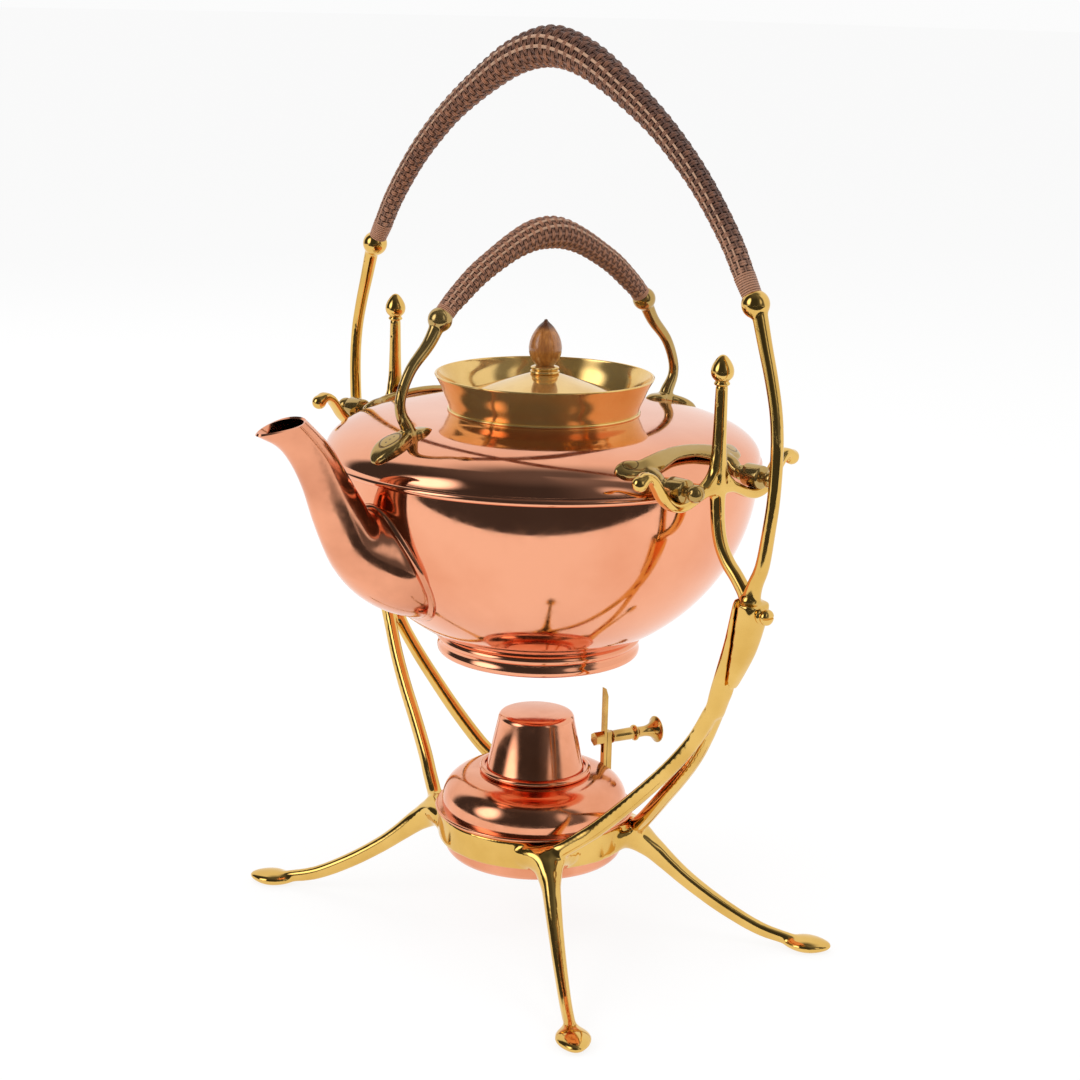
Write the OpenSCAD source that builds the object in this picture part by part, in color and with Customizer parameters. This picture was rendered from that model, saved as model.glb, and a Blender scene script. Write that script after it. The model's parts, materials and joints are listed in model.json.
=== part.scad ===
// Spirit kettle on its stand: a copper kettle that tips on two side pins,
// a brass stand with four legs and a carrying handle, and a spirit burner.
// Millimetres, +Z up. The spout points along -X, the tipping axis lies along Y.

/* [Kettle] */
// Radius of the bowl at its widest
bowl_r = 90; // [84:1:96]
// Height of the bowl's widest level above the table
bowl_z = 204.5; // [200:0.5:209]
// Drop of the bowl's full curve below its widest level
bowl_drop = 82.5; // [80:0.5:84]
// Thickness of the copper sheet
sheet = 1.2; // [0.9:0.1:1.5]
// Height of the seam between bowl and shoulder above the widest level
seam_rise = 1.5; // [1:0.5:2.5]
// Rise of the shoulder above its rolled edge
shoulder_rise = 17.4; // [16:0.2:19]
// Height of the rolled edge round the seam
roll_h = 3; // [2:0.2:3.6]
// Radius of the foot ring where it stands
kettle_foot_r = 42; // [38:0.5:45]
// Height of the foot ring
kettle_foot_h = 8.5; // [7:0.5:10]

/* [Collar and lid] */
// Radius of the collar where it meets the shoulder
collar_r = 39.5; // [37:0.5:42]
// Radius of the collar's flared rim
collar_rim_r = 45.7; // [44:0.1:48]
// Height of the collar
collar_h = 14.9; // [13:0.1:17]
// Thickness of the brass sheet of collar and lid
brass_sheet = 1; // [0.8:0.1:1.2]
// Height of the lid's cone
lid_rise = 11.4; // [9:0.2:13]
// Depth of the skirt under the lid
skirt_h = 8; // [6:0.5:10]
// Radius of the knob at its widest
knob_r = 6.9; // [6:0.1:8]
// Height of the knob
knob_h = 19; // [16:0.5:22]

/* [Spout] */
// Distance of the spout's lip from the kettle's axis
spout_reach = 143; // [138:1:148]
// Height of the lip above the bowl's widest level
lip_rise = 28; // [25:0.5:31]
// Thickness of the spout's wall
spout_wall = 1; // [0.8:0.1:1.2]

/* [Kettle grip] */
// Half the span between the grip's two balls
grip_half = 56.25; // [54:0.25:58]
// Rise of the grip's middle above its two balls
grip_rise = 31.2; // [28:0.2:33]
// Radius of the grip at its middle
grip_r = 6.8; // [6:0.1:7.2]
// Radius of the grip at its ends
grip_end_r = 3.9; // [3.6:0.1:4.3]
// Radius of the balls at its ends
grip_ball_r = 5; // [4.6:0.1:5.6]
// Radius of the core inside both grips
core_r = 2.4; // [2:0.1:3]

/* [Side brackets and pins] */
// Distance of each pin from the middle of the bracket
pin_x = 21; // [20:0.5:22]
// Radius of the pin's collar, which lies in the cradle
pin_collar_r = 4.6; // [4:0.1:5]
// Radius of the pin's shaft
pin_r = 2.2; // [1.8:0.1:2.6]
// Radius of the ball at the pin's end
pin_ball_r = 3.5; // [3:0.1:4]
// Running gap between the pin's collar and its cradle
pin_gap = 0.1; // [0.05:0.01:0.15]

/* [Stand] */
// Distance of the upright post from the bowl's side
post_gap = 10; // [9:0.5:12]
// Half thickness of the post
post_half = 2.6; // [2.2:0.1:3]
// Half width of the cradle strap
strap_half = 3.2; // [2.8:0.1:3.5]
// Greatest distance of the bow from the post
bow_swell = 29.4; // [27:0.2:31]
// Radius of the ferrule ball on the bow
ferrule_r = 5.5; // [5:0.1:6]
// Rise of the carrying handle's middle above its ferrules
handle_rise = 89.6; // [80:1:95]
// Radius of the carrying handle at its middle
handle_r = 8.5; // [7.5:0.1:9]
// Radius of the carrying handle at its ends
handle_end_r = 3.7; // [3.4:0.1:4.2]
// Radius of the boss at the foot of the bow
boss_r = 4.9; // [4.6:0.1:5.2]
// Gap along the slanted joint between bow and side frame
split_w = 1.4; // [1:0.1:1.8]
// Radius of the clamp screw in the head
clamp_screw_r = 1.5; // [1.3:0.1:1.8]
// Distance of each foot from the middle, along the spout
foot_x = 68; // [62:1:74]
// Distance of each foot from the middle, across the spout
foot_y = 100.6; // [94:0.2:106]
// Length, width and height of a foot pad
pad_size = [21, 13.6, 6.4];

/* [Burner ring] */
// Outer radius of the ring
ring_r = 41.7; // [41:0.1:43]
// Height of the ring
ring_h = 12.5; // [11:0.5:14]
// Height of the ring's lower edge above the table
ring_z = 38.3; // [36:0.1:41]
// Wall of the ring
ring_wall = 2.4; // [2:0.1:3]

/* [Burner] */
// Inset of the dome's edge from the ring's outer side
dome_inset = 1.7; // [1:0.1:2.5]
// Height of the reservoir's dome above its flange
dome_h = 16.8; // [15:0.2:18]
// Gap between the reservoir and the ring's bore
reservoir_gap = 0.5; // [0.3:0.1:0.8]
// Depth of the reservoir below the ring's upper edge
reservoir_depth = 19.5; // [18:0.5:21]
// Thickness of the burner's copper sheet
burner_sheet = 1; // [0.8:0.1:1.2]
// Radius of the snuffer at its mouth
snuffer_r = 21; // [20:0.2:22]
// Radius of the snuffer below its rounded top
snuffer_top_r = 16.5; // [15:0.2:18]
// Height of the snuffer
snuffer_h = 24.6; // [23:0.2:26]
// Outer radius of the wick tube
wick_tube_r = 12; // [11:0.2:13]

/* [Wick regulator] */
// Turn of the regulator from the line opposite the spout
regulator_turn = -13; // [-16:1:-10]
// Inset of the regulator's post from the dome's edge
regulator_inset = 4.8; // [4.5:0.1:5]
// Height of the post above the dome's flange
regulator_post_h = 29; // [27:0.5:30]
// Height of the blade's tip above the post
blade_rise = 20.2; // [18:0.2:22]
// Travel of the blade and the wick
wick_travel = 6; // [4:0.5:6]
// Length of the turned handle
thumb_len = 24; // [22:0.5:27]
// Radius of the handle's flared end
thumb_flare_r = 5.9; // [5.4:0.1:7]

/* [Hidden] */

$fn = 72;
CUT = 0.01;
FAR = 400;
SEAT = 0.3;

copper = "#c9805f";
brass = "#d3ab4f";
cane = "#8c5a3c";
horn = "#8a5a33";
cotton = "#ece4d2";
steel = "#9a9a96";

// Heights and places that follow from the sizes above
seam_z = bowl_z + seam_rise;
roll_z = seam_z + roll_h;
shoulder_r = bowl_r + 0.5;
collar_z = roll_z + shoulder_rise - 0.1;
rim_z = collar_z + collar_h;
kettle_foot_z = bowl_z - bowl_drop * sqrt(1 - pow(kettle_foot_r / bowl_r, 2)) - kettle_foot_h;
pin_z = bowl_z + 9.1;
post_y = bowl_r + post_gap;
pin_ball_y = post_y + 8.6;
strap_z = pin_z - pin_collar_r - 2;
post_rise = 38;
post_top_z = pin_z + post_rise;
boss_y = post_y + 19.4;
boss_z = pin_z - 42.6;
ferrule_y = post_y + 15.1;
ferrule_z = pin_z + 70.4;
grip_ball_z = bowl_z + 64;
ring_top = ring_z + ring_h;
ring_bore_r = ring_r - ring_wall;
foot_turn = atan2(foot_y, foot_x);
foot_reach = norm([foot_x, foot_y]);
dome_r = ring_r - dome_inset;
regulator_r = dome_r - regulator_inset;
flange_z = ring_top + SEAT;
dome_z = flange_z + dome_h;
wick_tube_top = dome_z + 12.4;
snuffer_z = dome_z + 1.9;
regulator_z = flange_z + regulator_post_h - 2.8;
lip_z = bowl_z + lip_rise;
lid_edge_r = collar_r - 0.6;
lid_z = collar_z + 2.9;
lid_top_z = lid_z + lid_rise;
seat_h = 3.4;
knob_z = lid_top_z + brass_sheet + seat_h;

// The kettle's axis lies beside the middle of the whole length, because the spout
// reaches further than the shoulder does
axis_x = (spout_reach - shoulder_r - roll_h / 2) / 2;

// A smooth curve through a list of points of any dimension
function curve_point(a, b, c, d, t) =
  0.5 * (2 * b + (c - a) * t + (2 * a - 5 * b + 4 * c - d) * t * t
  + (3 * b - a - 3 * c + d) * t * t * t);
function smooth(p, k = 4) = [
  for (i = [0:len(p) - 2])
    let (a = i == 0 ? 2 * p[0] - p[1] : p[i - 1],
         d = i == len(p) - 2 ? 2 * p[i + 1] - p[i] : p[i + 2])
    for (j = [0:k - 1]) curve_point(a, p[i], p[i + 1], d, j / k),
  p[len(p) - 1]];
function unit(v) = v / norm(v);
function mixed(a, b, t) = a + (b - a) * t;

// Rings of an oval section along a path. Each step is [x, y, z, wide, thick], and
// face is the direction that the thick half size follows
function rings(path, face, sides) = [
  for (i = [0:len(path) - 1])
    let (here = [path[i].x, path[i].y, path[i].z],
         before = path[max(i - 1, 0)],
         after = path[min(i + 1, len(path) - 1)],
         along = unit([after.x - before.x, after.y - before.y, after.z - before.z]),
         f = is_list(face[0]) ? face[i] : face,
         v = unit(f - (f * along) * along),
         u = cross(v, along))
    [for (k = [0:sides - 1])
      here + u * path[i][3] * cos(360 * (k + 0.5) / sides)
      + v * path[i][4] * sin(360 * (k + 0.5) / sides)]];

// A closed skin over a list of rings that each have the same number of points
module skin(r) {
  n = len(r[0]);
  m = len(r);
  polyhedron(
    points = [for (ring = r) each ring],
    faces = concat(
      [[for (k = [0:n - 1]) k]],
      [[for (k = [n - 1:-1:0]) (m - 1) * n + k]],
      [for (i = [0:m - 2]) for (k = [0:n - 1])
        let (a = i * n + k, b = i * n + (k + 1) % n)
        each [[a, a + n, b + n], [a, b + n, b]]]),
    convexity = 8);
}

module bar(path, face, sides = 10) {
  skin(rings(path, face, sides));
}

module at_axis() {
  translate([axis_x, 0, 0]) children();
}

// Solid of revolution from a list of [radius, height]
module turned(profile) {
  rotate_extrude() polygon(profile);
}

// Kettle body
function bowl_curve(from, to, n) = [
  for (i = [0:n]) let (a = mixed(from, to, i / n)) [bowl_r * cos(a), bowl_z - bowl_drop * sin(a)]];
function shoulder_height(r) = roll_z
  + shoulder_rise * sqrt(max(0, 1 - pow(min(r, shoulder_r) / shoulder_r, 4.5)));
foot_angle = acos(kettle_foot_r / bowl_r);
bowl_floor_z = bowl_curve(foot_angle, foot_angle, 1)[0].y;

module bowl_outside() {
  turned(concat([[0, bowl_floor_z]], [for (i = [20:-1:0]) bowl_curve(0, foot_angle, 20)[i]],
    [[bowl_r, seam_z], [0, seam_z]]));
}

strainer_pitch = 5.5;
strainer_r = 1.6;
module kettle_bowl() {
  outer = concat([[bowl_r, seam_z]], bowl_curve(0, foot_angle, 20),
    [[30, bowl_floor_z + 1], [0, bowl_floor_z + 3]]);
  inner = concat([[bowl_r - sheet, seam_z]],
    [for (i = [0:20]) let (a = foot_angle * i / 20)
      [(bowl_r - sheet) * cos(a), bowl_z - (bowl_drop - sheet) * sin(a)]],
    [[30, bowl_floor_z + 1 + sheet], [0, bowl_floor_z + 3 + sheet]]);
  color(copper) at_axis() difference() {
    turned(concat(outer, [for (i = [len(inner) - 1:-1:0]) inner[i]]));
    for (row = [-2:2], col = [-1:1])
      translate([-bowl_r / 2, strainer_pitch * (col + (row % 2) / 2), bowl_z - 32 + strainer_pitch * row])
        rotate([0, -90, 0]) cylinder(r = strainer_r, h = bowl_r, $fn = 24);
  }
}

shoulder_steps = 22;
function shoulder_radius(a) = shoulder_r * pow(cos(a), 2 / 4.5);
function shoulder_curve(n) = let (top = acos(pow(collar_r / shoulder_r, 2.25)))
  [for (i = [0:n]) let (a = top * (1 - i / n)) [shoulder_radius(a), roll_z + shoulder_rise * sin(a)]];

module shoulder_outside() {
  p = shoulder_curve(shoulder_steps);
  turned(concat([[0, seam_z]], [[shoulder_r, seam_z]], [for (i = [shoulder_steps:-1:0]) p[i]], [[0, p[0].y]]));
}

module kettle_shoulder() {
  p = shoulder_curve(shoulder_steps);
  inner = [for (q = p) [q.x * (bowl_r - sheet) / shoulder_r, q.y - sheet]];
  roll = [for (t = [60:-20:-80])
    [shoulder_r - 0.6 + roll_h / 2 * cos(t), seam_z + roll_h / 2 * (1 + sin(t))]];
  color(copper) at_axis() turned(concat(p, roll, [[shoulder_r - 0.8, seam_z], [bowl_r - sheet, seam_z]],
    [for (i = [shoulder_steps:-1:1]) inner[i]], [[collar_r, inner[1].y + 0.2]]));
}

module kettle_foot() {
  low = kettle_foot_z;
  high = bowl_floor_z;
  r = kettle_foot_r;
  color(copper) at_axis() difference() {
    turned([[r - 2.4, high + 3], [r - 0.6, high + 1.2], [r + 1, high - 0.5], [r + 1.3, high - 2],
      [r + 0.2, high - 3.4], [r + 0.5, high - 4.6], [r + 1, low + 2.2], [r + 0.7, low + 0.5],
      [r, low], [r - 1.4, low], [r - 1.8, low + 1], [r - 1.6, high - 2], [r - 2.4, high - 1]]);
    bowl_outside();
  }
}

// Points of the collar's outer side, from the shoulder up to the rim
function collar_curve() = smooth([
  [collar_r, collar_z], [collar_r + 0.5, collar_z + 0.16 * collar_h],
  [mixed(collar_r, collar_rim_r, 0.3), collar_z + 0.4 * collar_h],
  [mixed(collar_r, collar_rim_r, 0.6), collar_z + 0.7 * collar_h],
  [collar_rim_r, rim_z]], 4);

module collar() {
  p = collar_curve();
  ledge_z = lid_z - 0.3;
  inside = [for (i = [len(p) - 1:-1:6]) [p[i].x - brass_sheet, p[i].y]];
  color(brass) at_axis() turned(concat([[collar_r, collar_z - 2]], p, inside,
    [[lid_edge_r + SEAT, ledge_z + 0.6], [lid_edge_r + SEAT, ledge_z], [lid_edge_r - 1.2, ledge_z],
     [lid_edge_r - 1.2, ledge_z - 1], [collar_r - 1.2, ledge_z - 1.6], [collar_r - 1.2, collar_z - 2]]));
}

// Spout: each section runs from a lower to an upper point in the plane y = 0, drawn
// for this reach and lip height. Its last two values are the half width, and how far
// the widest place moves towards the upper point
drawn_reach = 143;
drawn_lip = 28;
function spout_sections(thin) = [
  for (s = [[-56, -57.5, -80, -12, 15, -0.3], [-70, -54.2, -84, -8, 18, -0.3],
            [-83, -49.3, -87, -7.5, 18.3, -0.26], [-95, -41, -90.5, -8.5, 14.8, -0.15],
            [-104.6, -30.5, -93.6, -9.2, 11.4, -0.05], [-110.6, -20.4, -96.6, -3.4, 9.2, 0],
            [-115.8, -8.6, -101, 3.6, 7.8, 0],
            [-120.4, 4, -105.8, 11, 7.1, 0], [-126.3, 15, -111.4, 19.6, 6.6, 0.05],
            [-133, 22.7, -118.4, 26.8, 6.2, 0.15]])
    [[s[0], s[1]], [s[2], s[3]], s[4] - thin, s[5]]];
function spout_ring(low, high, half, thin, beak, sides) =
  let (mid = (low + high) / 2, arm = (high - low) / 2, k = 1 - thin / norm(arm),
       stretch = spout_reach / drawn_reach)
  [for (i = [0:sides - 1])
    let (a = 360 * (i + 0.5) / sides, q = mid + arm * k * cos(a))
    [q[0] * stretch, half * sin(a) * (1 + beak * cos(a)), bowl_z + q[1] * lip_rise / drawn_lip]];
mouth_half = 6.2;
module spout_shape(thin, over) {
  sides = 20;
  s = spout_sections(thin);
  mouth = [[-143 + over * 0.4, 28.2 + over], [-123.6 + over * 0.4, 31.6 + over]];
  core = [for (q = s) spout_ring(q[0], q[1], q[2], thin, q[3], sides)];
  skin(concat(core, [spout_ring(mouth[0], mouth[1], mouth_half - thin, thin, 0.35, sides)]));
}
module spout() {
  color(copper) at_axis() difference() {
    spout_shape(0, 0);
    spout_shape(spout_wall, 0.6);
    bowl_outside();
    translate([0, 0, seam_z]) cylinder(r = shoulder_r + 1, h = shoulder_rise);
  }
}

// Kettle grip and carrying handle: an arch between two balls, thickest in the middle.
// Each step of its left half is [share of the half span, share of the rise, share of
// the way from the end's radius to the middle's]
function arch(half, z, rise, shape, end_r, mid_r, k) =
  smooth([for (s = concat(shape, [for (i = [len(shape) - 2:-1:0]) [-shape[i][0], shape[i][1], shape[i][2]]]))
    [half * s[0], z + rise * s[1], mixed(end_r, mid_r, s[2])]], k);
grip_shape = [[-1, 0, 0], [-0.917, 0.155, 0.08], [-0.853, 0.255, 0.18], [-0.676, 0.508, 0.31],
  [-0.501, 0.696, 0.4], [-0.32, 0.862, 0.58], [-0.142, 0.972, 0.87], [0, 1, 1]];
handle_shape = [[-1, 0, 0], [-0.946, 0.109, 0.115], [-0.88, 0.246, 0.167], [-0.77, 0.421, 0.22],
  [-0.663, 0.558, 0.29], [-0.527, 0.7, 0.365], [-0.343, 0.848, 0.573], [-0.174, 0.953, 0.81], [0, 1, 1]];
function along_x(p, k) = [for (q = p) [q[0], 0, q[1], min(q[2], k), min(q[2], k)]];
function along_y(p, k) = [for (q = p) [0, -q[0], q[1], min(q[2], k), min(q[2], k)]];
grip_line = arch(grip_half, grip_ball_z, grip_rise, grip_shape, grip_end_r, grip_r, 2);
handle_line = arch(ferrule_y, ferrule_z, handle_rise, handle_shape, handle_end_r, handle_r, 3);

module grip_balls() {
  for (s = [-1, 1])
    translate([s * grip_half, 0, grip_ball_z]) sphere(r = grip_ball_r, $fn = 32);
}
module kettle_grip_core() {
  color(steel) at_axis() difference() {
    bar(along_x(grip_line, core_r), [0, 1, 0], 8);
    grip_balls();
  }
}
module kettle_grip_wrap() {
  color(cane) at_axis() difference() {
    bar(along_x(grip_line, FAR), [0, 1, 0], 12);
    bar(along_x([for (i = [0:len(grip_line) - 1])
      let (s = i == 0 ? -1 : i == len(grip_line) - 1 ? 1 : 0)
      [grip_line[i][0], grip_line[i][1] - abs(s) * CUT, grip_line[i][2]]], core_r), [0, 1, 0], 8);
    grip_balls();
  }
}

// Grip arm: a leaf foot on the shoulder, a curved arm and a ball
// Steps of the arm are [outward share, up, radius]. Steps of the leaf are
// [distance from the axis, lift, wide, thick], drawn for this radius of the bowl
drawn_bowl_r = 90;
arm_reach = 20.5;
arm_shape = [[0, 0, 2.9], [0.28, -9.3, 2.3], [0.7, -18.4, 2], [0.93, -28, 1.9], [0.95, -35, 2.1],
  [0.78, -41.5, 2.6], [0.74, -45.5, 2.8]];
leaf_shape = [[60, -0.6, 0.8, 0.7], [63.5, 0.5, 3, 1.2], [67.5, 0.8, 3.9, 1.5], [71.5, 1, 2.9, 1.8],
  [75.5, 1, 4.5, 1.6], [80.5, 0.9, 6.1, 1.5], [84.8, 0.7, 5, 1.2], [88, -0.2, 2, 0.8]];
function shoulder_normal(r) =
  let (d = shoulder_height(r + 0.5) - shoulder_height(r - 0.5)) unit([-d, 0, 1]);
module grip_arm() {
  scale_r = bowl_r / drawn_bowl_r;
  leaf = smooth([for (s = leaf_shape)
    [-s[0] * scale_r, 0, shoulder_height(s[0] * scale_r) + s[1], s[2], s[3]]], 2);
  arm = smooth([for (s = arm_shape)
    [-grip_half - s[0] * arm_reach, 0, grip_ball_z + s[1], s[2], s[2]]], 3);
  color(brass) difference() {
    union() {
      bar(leaf, [for (q = leaf) let (n = shoulder_normal(-q.x)) [-n.x, 0, n.z]], 10);
      bar(arm, [0, 1, 0], 10);
      translate([-grip_half, 0, grip_ball_z]) sphere(r = grip_ball_r, $fn = 32);
    }
    shoulder_outside();
  }
}
module grip_arm_front() {
  at_axis() grip_arm();
}
module grip_arm_back() {
  at_axis() mirror([1, 0, 0]) grip_arm();
}

// Side bracket: a leaf foot at each end, an arch between them and two arms to the pins.
// Each step is [x, distance out, lift above the shoulder, wide, thick]
bracket_half = [[32.5, -11, -0.8, 0.8, 0.8], [30.5, -10.6, 0.4, 2.8, 1.2], [27, -9.4, 1, 4, 1.5],
  [23, -8, 1.4, 3.8, 1.7], [18.5, -7.4, 1.9, 4.2, 1.6], [12, -8.2, 2.3, 3.7, 1.4],
  [6, -9, 2.6, 3.2, 1.3], [0, -9.2, 2.7, 3.1, 1.3]];
function bracket_step(s) =
  let (y = bowl_r + s[1], r = norm([s[0], y]))
  [s[0], -y, shoulder_height(r) + s[2], s[3], s[4]];
function bracket_face(q) =
  let (r = norm([q.x, q.y]), n = shoulder_normal(r)) unit([n.x * q.x / r, n.x * q.y / r, n.z]);
arm_root = post_y - 8;
module side_bracket() {
  half = [for (s = bracket_half) bracket_step([-s[0], s[1], s[2], s[3], s[4]])];
  full = smooth(concat(half, [for (i = [len(half) - 2:-1:0])
    [-half[i].x, half[i].y, half[i].z, half[i][3], half[i][4]]]), 2);
  color(brass) difference() {
    union() {
      bar(full, [for (q = full) bracket_face(q)], 10);
      for (s = [-1, 1])
        bar(smooth([[s * (pin_x + 0.6), -(bowl_r - 8), pin_z + 4.5, 2.4, 2.2],
          [s * (pin_x + 0.3), -(bowl_r - 3), pin_z + 2.6, 2.7, 2.4],
          [s * pin_x, -(bowl_r - 0.5), pin_z + 0.4, 2.8, 2.6],
          [s * pin_x, -arm_root, pin_z, 2.8, 2.8]], 2), [0, 0, 1], 10);
    }
    shoulder_outside();
    translate([0, 0, seam_z + roll_h / 2])
      rotate_extrude() translate([shoulder_r - 0.6, 0]) circle(r = roll_h / 2 + SEAT, $fn = 32);
    translate([-FAR / 2, -arm_root - FAR, 0]) cube([FAR, FAR, FAR]);
  }
}
module side_bracket_right() {
  at_axis() side_bracket();
}
module side_bracket_left() {
  at_axis() mirror([0, 1, 0]) side_bracket();
}

// A turned pin with its collar in the cradle and a ball at its end, pointing along +Z
module pin() {
  reach = pin_ball_y - arm_root;
  collar_mid = post_y - arm_root;
  half = strap_half + 0.5;
  union() {
    turned([[0, 0], [pin_r + 0.8, 0], [pin_r + 0.8, 0.8], [pin_r, 1.4], [pin_r, collar_mid - half - 0.6],
      [pin_collar_r - 0.6, collar_mid - half - 0.6], [pin_collar_r, collar_mid - half],
      [pin_collar_r, collar_mid + half], [pin_collar_r - 0.6, collar_mid + half + 0.6],
      [pin_r - 0.3, collar_mid + half + 0.9], [pin_r - 0.3, reach], [0, reach]]);
    translate([0, 0, reach]) sphere(r = pin_ball_r, $fn = 32);
  }
}
module pin_pair(x) {
  color(brass) at_axis() for (s = [-1, 1])
    translate([x, s * arm_root, pin_z]) rotate([-90 * s, 0, 0]) pin();
}
module tipping_pins() {
  pin_pair(-pin_x);
}
module resting_pins() {
  pin_pair(pin_x);
}

// Lid and knob
lid_flat_r = 6.4;
screw_r = 1.3;
module lid() {
  color(brass) at_axis() turned([[screw_r, lid_top_z], [lid_flat_r, lid_top_z],
    [lid_edge_r - 1.6, lid_z + brass_sheet], [lid_edge_r, lid_z + 0.2], [lid_edge_r, lid_z + 1.1],
    [lid_edge_r - 1.2, lid_z + 2],
    [lid_flat_r, lid_top_z + brass_sheet], [screw_r, lid_top_z + brass_sheet]]);
}
skirt_r = lid_edge_r - 1.6;
module lid_skirt() {
  color(brass) at_axis() difference() {
    translate([0, 0, lid_z - skirt_h]) difference() {
      cylinder(r = skirt_r, h = skirt_h + 3);
      translate([0, 0, -1]) cylinder(r = skirt_r - brass_sheet, h = skirt_h + 6);
    }
    turned([[0, lid_top_z], [lid_flat_r, lid_top_z], [lid_edge_r - 1.6, lid_z + brass_sheet],
      [lid_edge_r + 2, lid_z + brass_sheet], [lid_edge_r + 2, lid_z + 20], [0, lid_z + 20]]);
  }
}
module knob_seat() {
  z = lid_top_z + brass_sheet;
  color(brass) at_axis() turned([[screw_r, z], [5.6, z], [6.1, z + 0.5], [6.1, z + 1.2], [5.4, z + 1.6],
    [5.9, z + 2.1], [5.9, z + 2.7], [5.2, z + 3.1], [4.2, z + seat_h], [screw_r, z + seat_h]]);
}
function knob_curve() = smooth([[3.7, 0], [knob_r * 0.84, knob_h * 0.14], [knob_r, knob_h * 0.37],
  [knob_r * 0.86, knob_h * 0.62], [knob_r * 0.5, knob_h * 0.84], [knob_r * 0.16, knob_h * 0.96],
  [0.7, knob_h]], 4);
screw_depth = 9;
module knob() {
  color(horn) at_axis() translate([0, 0, knob_z]) turned(concat(
    [[screw_r, 0]], knob_curve(), [[0, knob_h + 0.3], [0, screw_depth], [screw_r, screw_depth]]));
}
nut_h = 2.4;
module knob_screw() {
  low = lid_top_z - nut_h - 1;
  color(steel) at_axis() translate([0, 0, low])
    cylinder(r = screw_r, h = knob_z + screw_depth - low, $fn = 32);
}
module knob_nut() {
  color(brass) at_axis() translate([0, 0, lid_top_z - nut_h]) difference() {
    cylinder(r = 3.2, h = nut_h, $fn = 6);
    translate([0, 0, -1]) cylinder(r = screw_r, h = nut_h + 2, $fn = 32);
  }
}

// Stand: burner ring with four bosses, one at the root of each leg
// Each step of a root is [out from the ring, drop, half width, half height]
root_shape = [[-4.5, 0, 19, 5.9], [-1.6, 0, 16.5, 6], [0.6, 0.1, 12, 6.1], [2.6, 0.4, 8.4, 6.2],
  [5, 1.2, 6, 6.4], [8, 2.6, 4.6, 6]];
module root_boss() {
  mid = ring_z + ring_h / 2;
  rotate([0, 0, -foot_turn])
    bar([for (s = root_shape) [ring_r + s[0], 0, mid - s[1], s[3], s[2]]], [0, 1, 0], 12);
}
module four_corners() {
  for (i = [0, 1], j = [0, 1]) mirror([i, 0, 0]) mirror([0, j, 0]) children();
}
module burner_ring() {
  color(brass) at_axis() difference() {
    union() {
      turned([[ring_bore_r - 2, ring_z], [ring_r - 0.8, ring_z], [ring_r, ring_z + 0.8],
        [ring_r, ring_top - 2.2], [ring_r - 1.2, ring_top], [ring_bore_r - 2, ring_top]]);
      four_corners() root_boss();
    }
    translate([0, 0, ring_z - 9]) cylinder(r = ring_bore_r, h = ring_h + 18);
    translate([-FAR / 2, -FAR / 2, ring_top]) cube([FAR, FAR, 30]);
  }
}

// A leg runs in the upright plane from the ring's axis to its foot
leg_shape = [[0, 0, 4.5, 5.6], [0.1, 0.13, 4.1, 4.9], [0.22, 0.31, 3.7, 4], [0.35, 0.49, 3.3, 3.6],
  [0.55, 0.72, 2.9, 3.4], [0.78, 0.925, 2.6, 3.1], [1, 1.02, 2.5, 2.6]];
module leg() {
  root = [ring_r + 6.5, ring_z + 3.8];
  tip = [foot_reach - 5, pad_size.z / 2 + 0.8];
  path = smooth([for (s = leg_shape)
    [mixed(root.x, tip.x, s[0]), 0, mixed(root.y, tip.y, s[1]), s[3], s[2]]], 3);
  color(brass) difference() {
    union() {
      rotate([0, 0, -foot_turn]) bar(path, [0, 1, 0], 8);
      translate([foot_x, -foot_y, pad_size.z / 2 - 0.4]) rotate([0, 0, -foot_turn]) pad();
    }
    root_boss();
    translate([-FAR / 2, -FAR / 2, -30]) cube([FAR, FAR, 30]);
  }
}
module pad() {
  steps = 10;
  n = 20;
  half = pad_size / 2;
  skin([for (i = [0:steps])
    let (a = -82 + 164 * i / steps)
    [for (k = [0:n - 1]) let (t = 360 * k / n)
      [half.x * cos(a) * cos(t), half.y * cos(a) * sin(t), half.z * sin(a) / sin(82)]]]);
}
module leg_front_left() {
  at_axis() mirror([1, 0, 0]) mirror([0, 1, 0]) leg();
}
module leg_front_right() {
  at_axis() mirror([1, 0, 0]) leg();
}
module leg_back_left() {
  at_axis() mirror([0, 1, 0]) leg();
}
module leg_back_right() {
  at_axis() leg();
}

// Side frame: two struts that rise from the bosses and merge in a split head.
// Steps run from the ring's boss, 0, to the neck below the head, 1
neck = [1.9, post_y + 4, boss_z - 48];
strut_turn = foot_turn + 1.5;
strut_reach = ring_r + 3.6;
strut_root = [strut_reach * cos(strut_turn), strut_reach * sin(strut_turn), ring_top - 3.4];
strut_shape = [[0, 0, 0], [0.12, 0.06, 0.034], [0.26, 0.17, 0.114], [0.39, 0.27, 0.193], [0.56, 0.45, 0.352],
  [0.69, 0.62, 0.51], [0.82, 0.775, 0.67], [0.94, 0.9, 0.83], [1, 1, 1]];
module strut(s) {
  path = smooth([for (q = strut_shape)
    [s * mixed(strut_root.x, neck.x, q[0]), -mixed(strut_root.y, neck.y, q[1]),
     mixed(strut_root.z, neck.z, q[2]), 2.9, 2.2]], 2);
  bar(path, [1, 0, 0], 8);
}
head_shape = [[-15.6, -50, 3.1, 4.2], [-12.5, -40, 4.1, 4.1], [-8.6, -31, 5.2, 4.5], [-4, -20, 6.2, 5.2],
  [-1.3, -11, 6.3, 6], [0.4, -4, 6.1, 6.5], [1, 0, 5.7, 6.5]];
split_tilt = 8.5;
split_h = 60;
split_seat = 12;
screw_z = boss_z - 4.6;
screw_out = boss_y + 8.8;
boss_half = 3.5;
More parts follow.
